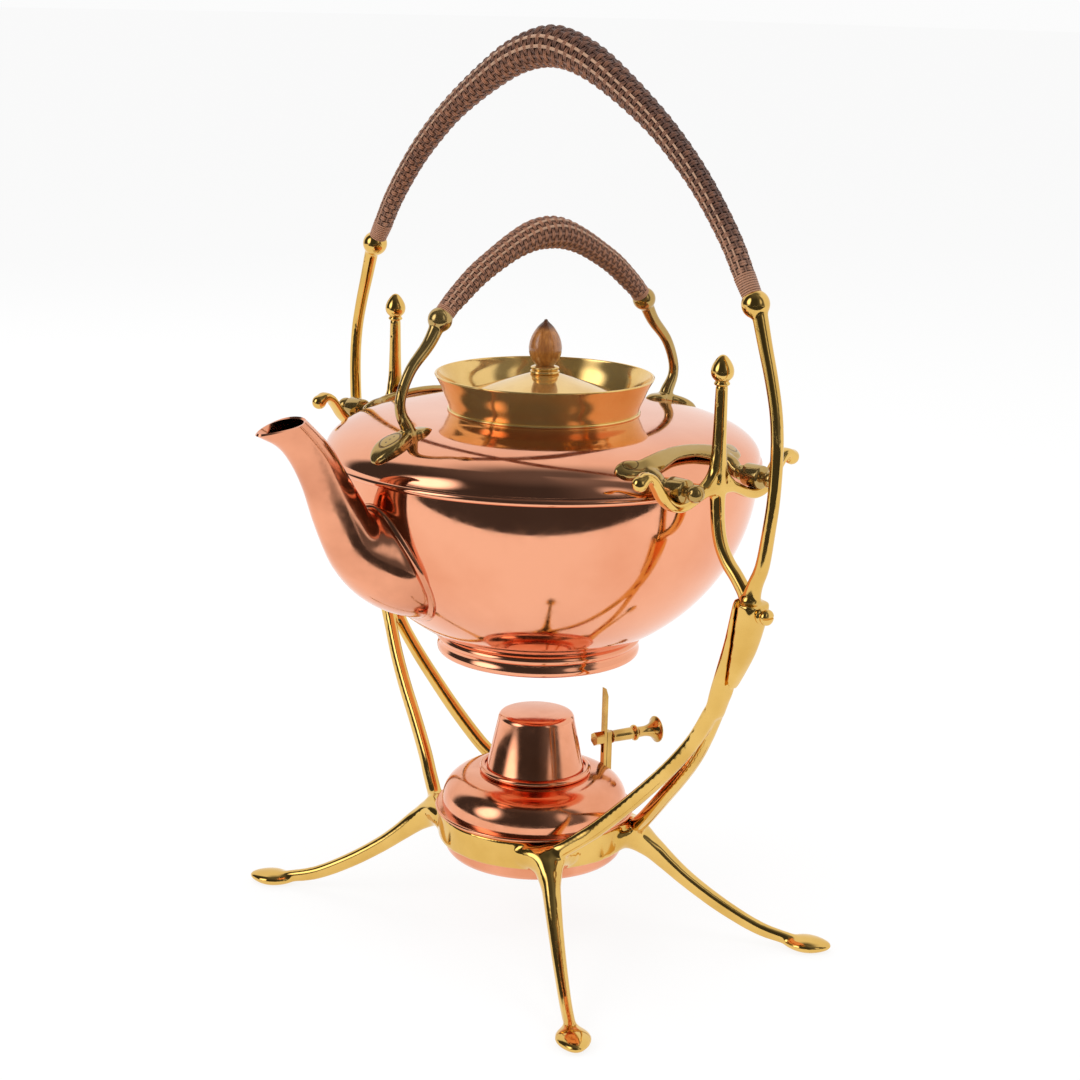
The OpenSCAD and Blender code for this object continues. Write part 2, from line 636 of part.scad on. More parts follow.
module bow_boss() {
  translate([-boss_half, -boss_y, boss_z]) rotate([0, 90, 0])
    cylinder(r = boss_r, h = 2 * boss_half, $fn = 48);
}
// The joint between bow and side frame is a slanted cut through the head: the frame
// keeps its inner side and the bow its outer side. They meet at the top, where the
// screw passes, and stand a little apart below
module at_cut() {
  translate([0, -boss_y + 1.1, boss_z - 0.9]) rotate([split_tilt, 0, 0]) children();
}
module outer_half() {
  at_cut() translate([-20, -40, -split_h]) cube([40, 40, split_h + 20]);
}
module cut_gap() {
  at_cut() translate([-20, -split_w / 2, -split_h]) cube([40, split_w, split_h - split_seat]);
}
module split_head() {
  path = smooth([for (q = head_shape) [0, -(boss_y + q[0]), boss_z + q[1], q[2], q[3]]], 3);
  bar(path, [1, 0, 0], 8);
}
module side_frame() {
  color(brass) difference() {
    union() {
      strut(-1);
      strut(1);
      split_head();
    }
    bow_boss();
    outer_half();
    cut_gap();
    screw_hole();
    mirror([1, 0, 0]) root_boss();
    root_boss();
    bow_rod();
  }
}
module screw_hole() {
  reach = screw_out - screw_tip;
  translate([0, -screw_tip, screw_z]) rotate([90, 0, 0]) cylinder(r = clamp_screw_r, h = reach, $fn = 32);
}
module screw_seat() {
  translate([0, -screw_out + 2, screw_z]) rotate([90, 0, 0]) cylinder(r = 3.4, h = 20, $fn = 32);
}
module bow_rod() {
  bar(bow_path, [1, 0, 0], 10);
}
module side_frame_right() {
  at_axis() side_frame();
}
module side_frame_left() {
  at_axis() mirror([0, 1, 0]) side_frame();
}

// Bow: rises from its boss in the head to the ferrule ball of the carrying handle
bow_steps = [[0, 0, 1.8], [0.52, 0.13, 1.9], [0.76, 0.245, 2], [0.95, 0.37, 2.1], [1, 0.52, 2.2],
  [0.86, 0.645, 2.2], [0.51, 0.76, 2.3], [0.07, 0.87, 2.6], [-0.42, 1, 2.9]];
bow_path = smooth([for (s = bow_steps)
  [0, -mixed(boss_y + 0.8, post_y + bow_swell, s[0]), mixed(boss_z, ferrule_z, s[1]), s[2], s[2] + 0.2]], 3);
module bow() {
  color(brass) difference() {
    union() {
      bow_rod();
      bow_boss();
      translate([0, -ferrule_y, ferrule_z]) sphere(r = ferrule_r, $fn = 32);
      difference() {
        intersection() {
          split_head();
          outer_half();
        }
        cut_gap();
      }
    }
    screw_hole();
    screw_seat();
  }
}
module bow_right() {
  at_axis() bow();
}
module bow_left() {
  at_axis() mirror([0, 1, 0]) bow();
}

// Head screws: slotted, with a round head outside
screw_tip = boss_y - 3;
module head_screw() {
  shank = screw_out - 2 - screw_tip;
  translate([0, -screw_tip, screw_z]) rotate([90, 0, 0]) difference() {
    union() {
      cylinder(r = clamp_screw_r, h = shank, $fn = 32);
      translate([0, 0, shank]) turned([[0, 0], [3.2, 0], [3.2, 1.4], [2.4, 1.9], [2.6, 2.4], [3.3, 3.2],
        [3.4, 4.2], [2.9, 5.2], [1.6, 5.9], [0, 6.1]]);
    }
    translate([-5, -0.4, shank + 4.9]) cube([10, 0.8, 3]);
  }
}
module head_screws() {
  color(brass) at_axis() {
    head_screw();
    mirror([0, 1, 0]) head_screw();
  }
}

// Cradle arm: an upright post on a curved foot, with a cross strap that dips
// into a cradle for each pin and curls over at its ends
// Each step of the post is [out, up, wide, thick], the last two as shares of post_half
post_steps = [[16.2, -39.4, 1, 0.96], [12, -34.6, 0.92, 0.96], [7.4, -30.2, 0.92, 0.96], [3.5, -24.2, 0.92, 1],
  [1.3, -16.6, 1, 1.08], [0.4, -7, 1.08, 1.23], [0.2, 0, 1.15, 1.61], [0, 7, 1.11, 1.54], [0, 13, 1.04, 1.19],
  [0, 22, 0.96, 1.04], [0, 31, 0.92, 0.96], [0, post_rise, 0.88, 0.92]];
// Each step of the strap is [along, up, thick], drawn for this distance of the pins
drawn_pin_x = 21;
strap_steps = [[0, 4.6, 2.4], [7, 4.4, 2.3], [12, 2.6, 2.1], [16.5, 0.7, 2.1], [21, 0.1, 2.3],
  [25.5, 1.2, 2.1],
  [29.5, 4.4, 2], [33, 9, 1.8], [36, 12.6, 1.8], [39.2, 13.7, 1.9], [42, 11.6, 2]];
module strap() {
  grow = pin_x / drawn_pin_x;
  half = [for (s = strap_steps) [s[0] * grow, -post_y, strap_z + s[1], s[2], strap_half]];
  full = smooth(concat([for (i = [len(half) - 1:-1:1])
    [-half[i].x, half[i].y, half[i].z, half[i][3], half[i][4]]], half), 2);
  tip = half[len(half) - 1];
  bar(full, [0, 1, 0], 8);
  for (s = [-1, 1]) translate([s * tip.x, tip.y, tip.z]) sphere(r = 3.1, $fn = 24);
}
module cradle_arm() {
  path = smooth([for (s = post_steps)
    [0, -(post_y + s[0]), pin_z + s[1], s[2] * post_half, s[3] * post_half]], 2);
  color(brass) difference() {
    union() {
      bar(path, [1, 0, 0], 8);
      strap();
    }
    for (s = [-1, 1]) translate([s * pin_x, 0, pin_z]) rotate([90, 0, 0])
      cylinder(r = pin_collar_r + pin_gap, h = FAR, $fn = 48);
    bow_boss();
    bow_rod();
    split_head();
  }
}
module cradle_arm_right() {
  at_axis() cradle_arm();
}
module cradle_arm_left() {
  at_axis() mirror([0, 1, 0]) cradle_arm();
}

// Finials on the posts
module post_finials() {
  color(brass) at_axis() for (s = [-1, 1])
    translate([0, s * post_y, post_top_z]) turned([[0, 0], [2.9, 0], [3.2, 0.6], [2.7, 1.4], [3.6, 2.4],
      [4.3, 4.2], [4.4, 5.6], [3.9, 7.6], [2.7, 9.6], [1.3, 11], [0, 11.4]]);
}

// Carrying handle: a core rod in a cane sleeve, between the two ferrule balls
module ferrule_balls() {
  for (s = [-1, 1]) translate([0, s * ferrule_y, ferrule_z]) sphere(r = ferrule_r, $fn = 32);
}
module carrying_handle_core() {
  color(steel) at_axis() difference() {
    bar(along_y(handle_line, core_r), [1, 0, 0], 8);
    ferrule_balls();
  }
}
module carrying_handle_wrap() {
  color(cane) at_axis() difference() {
    bar(along_y(handle_line, FAR), [1, 0, 0], 12);
    bar(along_y([for (i = [0:len(handle_line) - 1])
      let (s = i == 0 || i == len(handle_line) - 1 ? 1 : 0)
      [handle_line[i][0], handle_line[i][1] - s * CUT, handle_line[i][2]]], core_r), [1, 0, 0], 8);
    ferrule_balls();
  }
}

// Burner: reservoir in two halves, neck with its wick tube, snuffer
reservoir_r = ring_bore_r - reservoir_gap;
flange_r = ring_r + 1.3;
base_z = ring_top - reservoir_depth;
module burner_base() {
  r = reservoir_r;
  outer = [[r, flange_z], [r, base_z + 5], [r - 0.7, base_z + 2.6], [r - 2.2, base_z + 0.9], [r - 4.2, base_z],
    [0, base_z]];
  w = burner_sheet;
  color(copper) at_axis() turned([[r, flange_z], outer[1], outer[2], outer[3], outer[4], outer[5],
    [0, base_z + w], [r - 4.4, base_z + w], [r - 2.9, base_z + 0.9 + w], [r - w - 0.6, base_z + 3],
    [r - w, base_z + 5.2], [r - w, flange_z]]);
}
neck_r = 22;
function dome_curve(r, top, n) = [for (i = [0:n]) let (a = 90 * i / n)
  [mixed(neck_r, r, pow(sin(a), 0.86)), flange_z + 3 + (top - flange_z - 3) * pow(cos(a), 0.86)]];
slot_r = regulator_r - 1.5;
module regulator_frame() {
  rotate([0, 0, regulator_turn]) children();
}
module burner_dome() {
  n = 14;
  p = dome_curve(dome_r, dome_z, n);
  q = dome_curve(dome_r - burner_sheet, dome_z - burner_sheet, n);
  color(copper) at_axis() difference() {
    turned(concat([[neck_r - 1, dome_z]], p, [[dome_r, flange_z + 1.6], [flange_r - 0.5, flange_z + 1.5],
      [flange_r, flange_z + 0.8], [flange_r - 0.5, flange_z], [reservoir_r - burner_sheet, flange_z],
      [reservoir_r - burner_sheet, flange_z + 1]],
      [for (i = [n:-1:0]) q[i]], [[neck_r - 1, dome_z - burner_sheet]]));
    regulator_frame() translate([slot_r - 0.15, -1.65, flange_z]) cube([1.7, 3.3, 30]);
  }
}
module burner_neck() {
  z = dome_z;
  w = 1.2;
  color(copper) at_axis() rotate_extrude() union() {
    polygon([[wick_tube_r - w, z - 7], [wick_tube_r, z - 7], [wick_tube_r, z - burner_sheet],
      [neck_r - 1, z - burner_sheet], [neck_r - 1, z], [neck_r + 0.6, z], [neck_r + 0.6, z + 1.6],
      [wick_tube_r, z + 1.6], [wick_tube_r, wick_tube_top], [wick_tube_r - w, wick_tube_top]]);
    translate([neck_r + 0.6, z + 1.3]) circle(r = 1.3, $fn = 32);
  }
}
module snuffer() {
  r = snuffer_r;
  t = snuffer_top_r;
  h = snuffer_h;
  w = burner_sheet;
  edge = [[r, 0], [r, 0.8], [r - 0.3, 1.2], [t, h - 3.2], [t - 0.5, h - 1.5], [t - 1.5, h - 0.4], [t - 3, h],
    [0, h + 0.3]];
  color(copper) at_axis() translate([0, 0, snuffer_z]) turned(concat(edge,
    [[0, h + 0.3 - w], [t - 3, h - w], [t - 1.9, h - 0.5 - w], [t - w, h - 3.2 - w], [r - 0.3 - w, 1.2],
     [r - w, 0]]));
}

// Wick, its carrier inside the reservoir and the blade that raises both
wick_r = wick_tube_r - 1.2 - 0.3;
wick_low = base_z + 4;
carrier_z = dome_z - 22;
module wick() {
  color(cotton) at_axis() difference() {
    union() {
      translate([0, 0, wick_low]) cylinder(r = wick_r, h = wick_tube_top + 1.8 - wick_low);
      translate([0, 0, wick_tube_top + 1.8]) scale([1, 1, 0.12]) sphere(r = wick_r);
    }
    translate([0, 0, carrier_z]) difference() {
      cylinder(r = wick_r + 2, h = 5);
      translate([0, 0, -1]) cylinder(r = wick_r - 0.8, h = 8);
    }
  }
}
module wick_carrier() {
  color(brass) at_axis() union() {
    translate([0, 0, carrier_z]) difference() {
      cylinder(r = wick_r + 1.2, h = 5);
      translate([0, 0, -1]) cylinder(r = wick_r - 0.8, h = 8);
    }
    regulator_frame() translate([wick_r + 0.9, -1.5, carrier_z]) cube([slot_r - wick_r - 0.9, 3, 1.6]);
  }
}
blade_t = 1.4;
blade_w = 3;
shank_r = 0.8;
module regulator_blade() {
  top = flange_z + regulator_post_h + blade_rise;
  low = carrier_z;
  color(brass) at_axis() regulator_frame() difference() {
    translate([slot_r, blade_w / 2, 0]) rotate([90, 0, 0]) linear_extrude(blade_w)
      polygon([[0, low], [blade_t, low], [blade_t, top - 3.6], [0.3, top], [0, top]]);
    hull() for (z = [regulator_z, regulator_z - wick_travel])
      translate([slot_r - 1, 0, z]) rotate([0, 90, 0]) cylinder(r = shank_r + 0.1, h = 4, $fn = 24);
  }
}
post_t = 2.3;
post_w = 3.4;
module regulator_post() {
  color(brass) at_axis() difference() {
    regulator_frame() difference() {
      translate([regulator_r, -post_w / 2, flange_z + 3]) cube([post_t, post_w, regulator_post_h - 3]);
      translate([regulator_r - 1, 0, regulator_z]) rotate([0, 90, 0])
        cylinder(r = shank_r + 0.05, h = 8, $fn = 24);
    }
    turned(concat([[0, dome_z]], dome_curve(dome_r, dome_z, 14),
      [[dome_r, flange_z - 20], [0, flange_z - 20]]));
  }
}
nut_len = 4.2;
nut_at = slot_r - 0.2 - nut_len;
module regulator_nut() {
  color(brass) at_axis() regulator_frame()
    translate([nut_at, 0, regulator_z]) rotate([0, 90, 0]) difference() {
    cylinder(r = 3.1, h = nut_len, $fn = 6);
    translate([0, 0, -1]) cylinder(r = shank_r + 0.05, h = nut_len + 2, $fn = 24);
  }
}
module thumb_screw() {
  out = regulator_r + post_t + 0.1;
  k = thumb_len;
  f = thumb_flare_r;
  color(brass) at_axis() regulator_frame() translate([0, 0, regulator_z]) rotate([0, 90, 0]) union() {
    translate([0, 0, nut_at]) cylinder(r = shank_r, h = out - nut_at + 1, $fn = 24);
    translate([0, 0, out]) turned([[0, 0], [2.7, 0], [2.9, 0.5], [2.6, 1.1], [2.7, k * 0.42], [2.5, k * 0.46],
      [3.4, k * 0.49], [3.5, k * 0.53], [2.6, k * 0.57], [2.3, k * 0.66], [2.4, k * 0.76], [3.1, k * 0.86],
      [4.6, k * 0.94], [f, k * 0.97], [f, k], [4.6, k * 0.995], [1.6, k * 0.93], [0, k * 0.93]]);
  }
}

burner_ring();
leg_front_left();
leg_front_right();
leg_back_left();
leg_back_right();
side_frame_left();
side_frame_right();
bow_left();
bow_right();
cradle_arm_left();
cradle_arm_right();
post_finials();
head_screws();
carrying_handle_core();
carrying_handle_wrap();
kettle_bowl();
kettle_shoulder();
kettle_foot();
collar();
spout();
grip_arm_front();
grip_arm_back();
kettle_grip_core();
kettle_grip_wrap();
side_bracket_left();
side_bracket_right();
tipping_pins();
resting_pins();
lid();
lid_skirt();
knob_seat();
knob();
knob_screw();
knob_nut();
burner_base();
burner_dome();
burner_neck();
snuffer();
wick();
wick_carrier();
regulator_blade();
regulator_post();
regulator_nut();
thumb_screw();
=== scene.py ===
# %% [markdown]
# A spirit kettle hangs between two arms of a brass stand, over a small burner.
# Every piece here is placed in metres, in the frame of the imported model: the
# table is z = 0, the spout points along -X and the tipping axis lies along Y.

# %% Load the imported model
import math
import bmesh
import bpy
import json
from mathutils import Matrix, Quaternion, Vector


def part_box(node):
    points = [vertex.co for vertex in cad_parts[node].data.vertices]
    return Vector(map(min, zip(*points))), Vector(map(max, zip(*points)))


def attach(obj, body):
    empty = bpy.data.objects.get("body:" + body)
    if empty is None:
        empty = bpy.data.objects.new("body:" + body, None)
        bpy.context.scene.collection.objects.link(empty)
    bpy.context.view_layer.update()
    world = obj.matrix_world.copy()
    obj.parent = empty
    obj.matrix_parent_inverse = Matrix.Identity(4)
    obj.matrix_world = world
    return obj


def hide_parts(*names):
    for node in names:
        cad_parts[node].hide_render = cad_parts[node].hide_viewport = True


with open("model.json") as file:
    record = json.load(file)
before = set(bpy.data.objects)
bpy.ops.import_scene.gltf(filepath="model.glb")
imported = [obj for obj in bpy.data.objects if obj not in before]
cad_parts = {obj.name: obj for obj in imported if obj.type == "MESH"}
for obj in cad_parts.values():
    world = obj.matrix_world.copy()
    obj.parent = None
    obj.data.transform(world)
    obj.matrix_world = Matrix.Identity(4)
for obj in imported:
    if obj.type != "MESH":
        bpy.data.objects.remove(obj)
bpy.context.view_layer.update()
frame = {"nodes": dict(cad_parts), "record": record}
NODES = frame["nodes"]
MM = 0.001
AXIS_X = 25.5

# %% [markdown]
# The camera stands in front of the kettle's right side, a little above it. Its
# place, its lens and a small roll come from the rings and feet of the real thing,
# so the outline falls where it should.

# %% Camera
scene = bpy.context.scene
scene.view_settings.view_transform = "Standard"
TURN, RISE, ROLL = math.radians(-42.2), math.radians(14.2), math.radians(1.4)
back = Vector((math.sin(TURN) * math.cos(RISE), -math.cos(TURN) * math.cos(RISE), math.sin(RISE)))
bpy.ops.object.camera_add(location=(-0.56008, -0.64536, 0.39101))
camera = bpy.context.object
camera.name = "view_from_spout_side"
camera.rotation_mode = "QUATERNION"
camera.rotation_quaternion = (-back).to_track_quat("-Z", "Y") @ Quaternion((0, 0, 1), ROLL)
camera.data.sensor_width = 36
camera.data.lens = 71.04
camera.data.clip_start = 0.01
scene.camera = camera
print("camera at", tuple(round(v, 3) for v in camera.location))

# %% [markdown]
# Polished metal has no colour of its own to speak of: it shows the room. Here the
# table and the backdrop are white, which makes the metal bright, and the room beyond
# the table, on the camera's side, is dark, which draws the dark bands on the bowl, the
# shoulder and the posts. Real walls would take light away, so they are thin screens
# that only glossy rays see, and the lamps are seen by all but them.

# %% Floor and white room
FLOOR_SEEN, ROOM_SEEN, ROOM_LIGHT = 0.84, 0.97, 0.75


def fill(tree, node, inputs):
    for name, value in inputs.items():
        socket = node.inputs[name]
        if isinstance(value, bpy.types.Node):
            value = next(out for out in value.outputs if out.enabled)
        if isinstance(value, bpy.types.NodeSocket):
            tree.links.new(value, socket)
        else:
            socket.default_value = (*value, 1) if socket.type == "RGBA" else value


def add(tree, kind, inputs={}, **settings):
    node = tree.nodes.new("ShaderNode" + kind)
    for name, value in settings.items():
        setattr(node, name, value)
    fill(tree, node, inputs)
    return node


def material(name):
    made = bpy.data.materials.new(name)
    made.use_nodes = True
    made.node_tree.nodes.clear()
    return made, made.node_tree


def surfaced(made, shader):
    add(made.node_tree, "OutputMaterial", {"Surface": shader})
    return made


def only_selected(thing):
    bpy.ops.object.select_all(action="DESELECT")
    thing.select_set(True)
    bpy.context.view_layer.objects.active = thing


def seen_directly(tree, share):
    path = add(tree, "LightPath").outputs
    last = path["Is Camera Ray"]
    for kind in ("Is Glossy Ray", "Is Transmission Ray"):
        last = add(tree, "Math", {0: last, 1: path[kind]}, operation="MAXIMUM")
    return add(tree, "Math", {0: last, 1: share}, operation="MULTIPLY")


def make_floor():
    bpy.ops.mesh.primitive_plane_add(size=80)
    floor = bpy.context.object
    floor.name = "floor"
    made, tree = material("pale_floor")
    cloth = add(tree, "BsdfDiffuse", {"Color": (0.92, 0.92, 0.915)})
    glow = add(tree, "Emission", {"Color": (1, 1, 1), "Strength": 1.0})
    mix = add(tree, "MixShader", {0: seen_directly(tree, FLOOR_SEEN), 1: cloth, 2: glow})
    floor.data.materials.append(surfaced(made, mix))


def make_room():
    world = bpy.data.worlds.new("white_room")
    scene.world = world
    world.use_nodes = True
    tree = world.node_tree
    tree.nodes.clear()
    light = add(tree, "Background", {"Color": (1, 1, 1), "Strength": ROOM_LIGHT})
    seen = add(tree, "Background", {"Color": (1, 1, 1), "Strength": ROOM_SEEN})
    add(tree, "OutputWorld", {"Surface": add(tree, "MixShader", {0: seen_directly(tree, 1.0), 1: light, 2: seen})})


make_floor()
make_room()
print("floor and room are set")

# %% [markdown]
# Soft light comes from four square lamps that look at the kettle: a window on the
# spout's side, one beside the camera, one behind and one overhead. They are large
# and near, so the shadows on the table stay faint and have no hard edge.

# %% Lamps
def soft_lamp(name, place, size, power):
    bpy.ops.object.light_add(type="AREA", location=place)
    lamp = bpy.context.object
    lamp.name = name
    lamp.data.shape = "RECTANGLE"
    lamp.data.size, lamp.data.size_y = size
    lamp.data.energy = power
    lamp.visible_glossy = False
    lamp.rotation_mode = "QUATERNION"
    lamp.rotation_quaternion = (Vector(place) - Vector((0, 0, 0.2))).to_track_quat("Z", "Y")


soft_lamp("window", (-1.47, 0.25, 1.05), (0.95, 1.3), 11)
soft_lamp("lamp_right", (0.9, -1.3, 1.2), (1.0, 1.0), 7)
soft_lamp("lamp_back", (0.4, 1.4, 1.3), (1.2, 1.0), 8)
soft_lamp("lamp_top", (-0.25, -0.3, 1.7), (0.8, 0.8), 6)

# %% [markdown]
# The room that the metal shows is the upper half of a wide ball round the table.
# Every corner of the ball carries a brightness: white towards the backdrop behind the
# kettle, dark on the camera's side and overhead, and a large and a small window with
# soft edges in the dark. Below it, a dark floor begins at the table's edge.

# %% Room in the reflections
BACKDROP, FLOOR_BEYOND, TABLE_EDGE = 0.965, 0.055, 0.437


def carried(tree, name):
    return add(tree, "Attribute", attribute_name=name).outputs["Fac"]


def room_cloth():
    made, tree = material("room_cloth")
    return surfaced(made, add(tree, "Emission", {"Strength": carried(tree, "bright")}))


def eased(value, low, high):
    t = min(max((value - low) / (high - low), 0), 1)
    return t * t * (3 - 2 * t)


def away_from(turn, middle):
    return abs((turn - middle + 180) % 360 - 180)


def pane(turn, rise, middle, up, wide, high, soft):
    return 1 - eased(math.hypot(away_from(turn, middle) / wide, (rise - up) / high), *soft)


def room_bright(place):
    rise = math.degrees(math.atan2(place.z, math.hypot(place.x, place.y)))
    turn = math.degrees(math.atan2(place.y, place.x))
    dark = 0.05 + 0.08 * eased(rise, 45, 85) + 0.1 * eased(-away_from(turn, -85), -45, -5)
    backdrop = eased(away_from(turn, -158.5), 88, 99) * (1 - eased(rise, 58, 80))
    windows = 2.4 * pane(turn, rise, 165, 27, 19, 25, (0.45, 1.2)) + 0.7 * pane(turn, rise, -92, 30, 9, 20, (0.4, 1.3))
    return dark + (BACKDROP - dark) * backdrop + windows


def carry(thing, name, value):
    held = thing.data.attributes.new(name, "FLOAT", "POINT")
    for v in thing.data.vertices:
        held.data[v.index].value = value(v.co)


def glossy_only(screen, cloth):
    screen.data.materials.append(cloth)
    for kind in ("camera", "diffuse", "shadow", "transmission"):
        setattr(screen, "visible_" + kind, False)


def halved(place, across, **kept):
    bpy.ops.object.mode_set(mode="EDIT")
    bpy.ops.mesh.select_all(action="SELECT")
    bpy.ops.mesh.bisect(plane_co=place, plane_no=across, **kept)
    bpy.ops.object.mode_set(mode="OBJECT")


def dark_room(reach, cloth):
    bpy.ops.mesh.primitive_uv_sphere_add(segments=180, ring_count=90, radius=reach)
    room = bpy.context.object
    room.name = "room"
    halved((0, 0, 0.01), (0, 0, 1), clear_inner=True)
    carry(room, "bright", room_bright)
    glossy_only(room, cloth)


def dark_floor(turn, near, far, cloth):
    bpy.ops.mesh.primitive_plane_add(size=1, location=((near + far) / 2, 0, 0.0015))
    ground = bpy.context.object
    ground.name = "floor_beyond_the_table"
    ground.scale = (far - near, 3.4, 1)
    bpy.ops.object.transform_apply(location=True, scale=True)
    ground.rotation_euler.z = math.radians(turn)
    ground.location.x = AXIS_X * MM
    carry(ground, "bright", lambda place: FLOOR_BEYOND)
    glossy_only(ground, cloth)


cloth = room_cloth()
dark_room(2.6, cloth)
dark_floor(-135, TABLE_EDGE, 2.5, cloth)
print("room is set")

# %% [markdown]
# Copper and brass that are polished by hand are never even: the tone drifts
# a little, the gloss is duller in patches, and the sheet is not quite flat, which
# bends the reflections. One shared group makes all three, and each metal places it
# with its own colours and sizes.

# %% The shared group for hand-polished metal
def shared_group(name, inputs, outputs):
    group = bpy.data.node_groups.new(name, "ShaderNodeTree")
    for side, sockets in (("INPUT", inputs), ("OUTPUT", outputs)):
        for title, kind in sockets.items():
            group.interface.new_socket(name=title, in_out=side, socket_type="NodeSocket" + kind)
    return group, group.nodes.new("NodeGroupInput").outputs, group.nodes.new("NodeGroupOutput")


def object_place(tree):
    return add(tree, "TexCoord").outputs["Object"]


def noise(tree, where, scale, detail):
    return add(tree, "TexNoise", {"Vector": where, "Scale": scale, "Detail": detail})


def spread(tree, value, low, high, to_low=0.0, to_high=1.0, **settings):
    return add(tree, "MapRange", {"Value": value, "From Min": low, "From Max": high, "To Min": to_low,
                                  "To Max": to_high}, **settings)


def blend(tree, share, first, second):
    return add(tree, "Mix", {"Factor": share, "A": first, "B": second}, data_type="RGBA")


def bumpy(tree, height, distance, **settings):
    return add(tree, "Bump", {"Height": height, "Distance": distance, "Strength": 1}, **settings)


def polish_group():
    inputs = {"Bright": "Color", "Toned": "Color", "Patches": "Float", "Least rough": "Float",
              "Most rough": "Float", "Waves": "Float", "Wave height": "Float"}
    group, get, out = shared_group("hand_polish", inputs, {"Color": "Color", "Roughness": "Float", "Normal": "Vector"})
    where = object_place(group)
    tone = spread(group, noise(group, where, get["Patches"], 4), 0.4, 0.72)
    dull = noise(group, where, 260, 6)
    fill(group, out, {
        "Color": blend(group, tone, get["Bright"], get["Toned"]),
        "Roughness": spread(group, dull, 0.35, 0.75, get["Least rough"], get["Most rough"]),
        "Normal": bumpy(group, noise(group, where, get["Waves"], 1.5), get["Wave height"])})
    return group


POLISH = polish_group()


def polished(name, bright, toned, patches, rough, waves, height, metallic=1.0):
    made, tree = material(name)
    polish = add(tree, "Group", node_tree=POLISH)
    fill(tree, polish, {"Bright": bright, "Toned": toned, "Patches": patches, "Least rough": rough[0],
                        "Most rough": rough[1], "Waves": waves, "Wave height": height})
    return surfaced(made, add(tree, "BsdfPrincipled", {
        "Metallic": metallic, "Base Color": polish.outputs["Color"], "Roughness": polish.outputs["Roughness"],
        "Normal": polish.outputs["Normal"]}))


# Each: bright and toned colour, patches to the metre, roughness, waves to the metre, their height.
copper = polished("kettle_copper", (0.91, 0.405, 0.24), (0.83, 0.33, 0.18), 24, (0.06, 0.13), 16, 0.0001)
spout_copper = polished("spout_copper", (0.88, 0.38, 0.22), (0.68, 0.27, 0.15), 34, (0.09, 0.2), 26, 0.00014)
burner_copper = polished("burner_copper", (0.88, 0.38, 0.22), (0.74, 0.27, 0.13), 45, (0.10, 0.2), 30, 0.00006)
brass = polished("stand_brass", (0.81, 0.52, 0.15), (0.70, 0.42, 0.10), 45, (0.06, 0.14), 60, 0.00004)
collar_brass = polished("collar_brass", (0.85, 0.57, 0.21), (0.75, 0.46, 0.13), 60, (0.08, 0.16), 60, 0.00003, 0.84)
kettle_brass = polished("kettle_brass", (0.83, 0.58, 0.22), (0.73, 0.47, 0.14), 60, (0.06, 0.13), 60, 0.00003, 0.92)
burner_brass = polished("burner_brass", (0.70, 0.42, 0.12), (0.48, 0.26, 0.06), 90, (0.10, 0.24), 120, 0.00005)
iron = polished("iron_rod", (0.50, 0.49, 0.47), (0.34, 0.32, 0.30), 120, (0.3, 0.5), 200, 0.00002)
print("metals ready")

# %% [markdown]
# The flat lobes of the leaf feet are engraved with an oval line, and those at the front
# and back with three dots inside it. The cuts hold old polish, so they are darker, and
# a film of it dulls the brass between them to half that tone. A group measures how far
# a place lies from such an oval, as seen from above, and gives a mask; left and right,
# front and back fall together by taking the distances from the kettle's middle without
# their signs.

# %% Engraved ovals
OLD_POLISH, FILM, CUT_DEPTH = (0.16, 0.085, 0.02), 0.5, 0.00025


def oval_group():
    group, get, out = shared_group("engraved_oval", {
        "Centre": "Vector", "Turn": "Float", "Half sizes": "Vector", "Dots": "Float"}, {"Mask": "Float"})

    def vector(kind, *values):
        return add(group, "VectorMath", dict(enumerate(values)), operation=kind)

    def number(kind, *values):
        return add(group, "Math", dict(enumerate(values)), operation=kind)

    def near(distance, half):
        return spread(group, distance, half, 0.4 * half, interpolation_type="SMOOTHSTEP")

    folded = vector("ABSOLUTE", vector("SUBTRACT", object_place(group), (AXIS_X * MM, 0, 0)))
    beside = vector("MULTIPLY", vector("SUBTRACT", folded, get["Centre"]), (1, 1, 0))
    flat = add(group, "VectorRotate", {"Vector": beside, "Angle": get["Turn"]}, rotation_type="Z_AXIS")
    share = vector("LENGTH", vector("DIVIDE", flat, get["Half sizes"]))
    line = near(number("ABSOLUTE", number("SUBTRACT", share, 1)), 0.15)
    dots = [near(vector("DISTANCE", flat, (x * MM, 0, 0)), 0.65 * MM) for x in (-2, 0, 2)]
    dotted = number("MULTIPLY", number("MAXIMUM", dots[0], number("MAXIMUM", *dots[1:])), get["Dots"])
    fill(group, out, {"Mask": number("MAXIMUM", line, dotted)})
    return group


def engrave(metal, ovals):
    tree = metal.node_tree
    shader = next(n for n in tree.nodes if n.type == "BSDF_PRINCIPLED")
    polish = next(n for n in tree.nodes if n.type == "GROUP").outputs
    group, mask = oval_group(), FILM
    for centre, turn, half, dots in ovals:
        oval = add(tree, "Group", node_tree=group)
        fill(tree, oval, {"Centre": Vector(centre) * MM, "Turn": math.radians(turn),
                          "Half sizes": Vector(half) * MM, "Dots": dots})
        mask = add(tree, "Math", {0: oval, 1: mask}, operation="MAXIMUM")
    cut = bumpy(tree, mask, CUT_DEPTH, invert=True)
    fill(tree, cut, {"Normal": polish["Normal"]})
    fill(tree, shader, {"Base Color": blend(tree, mask, polish["Color"], OLD_POLISH), "Normal": cut})


engrave(kettle_brass, [((80.8, 0, 0), 0, (4.4, 3.7, 1000), 1), ((27.8, 80.3, 0), 17.5, (3.1, 2.3, 1000), 0)])
print("ovals engraved")

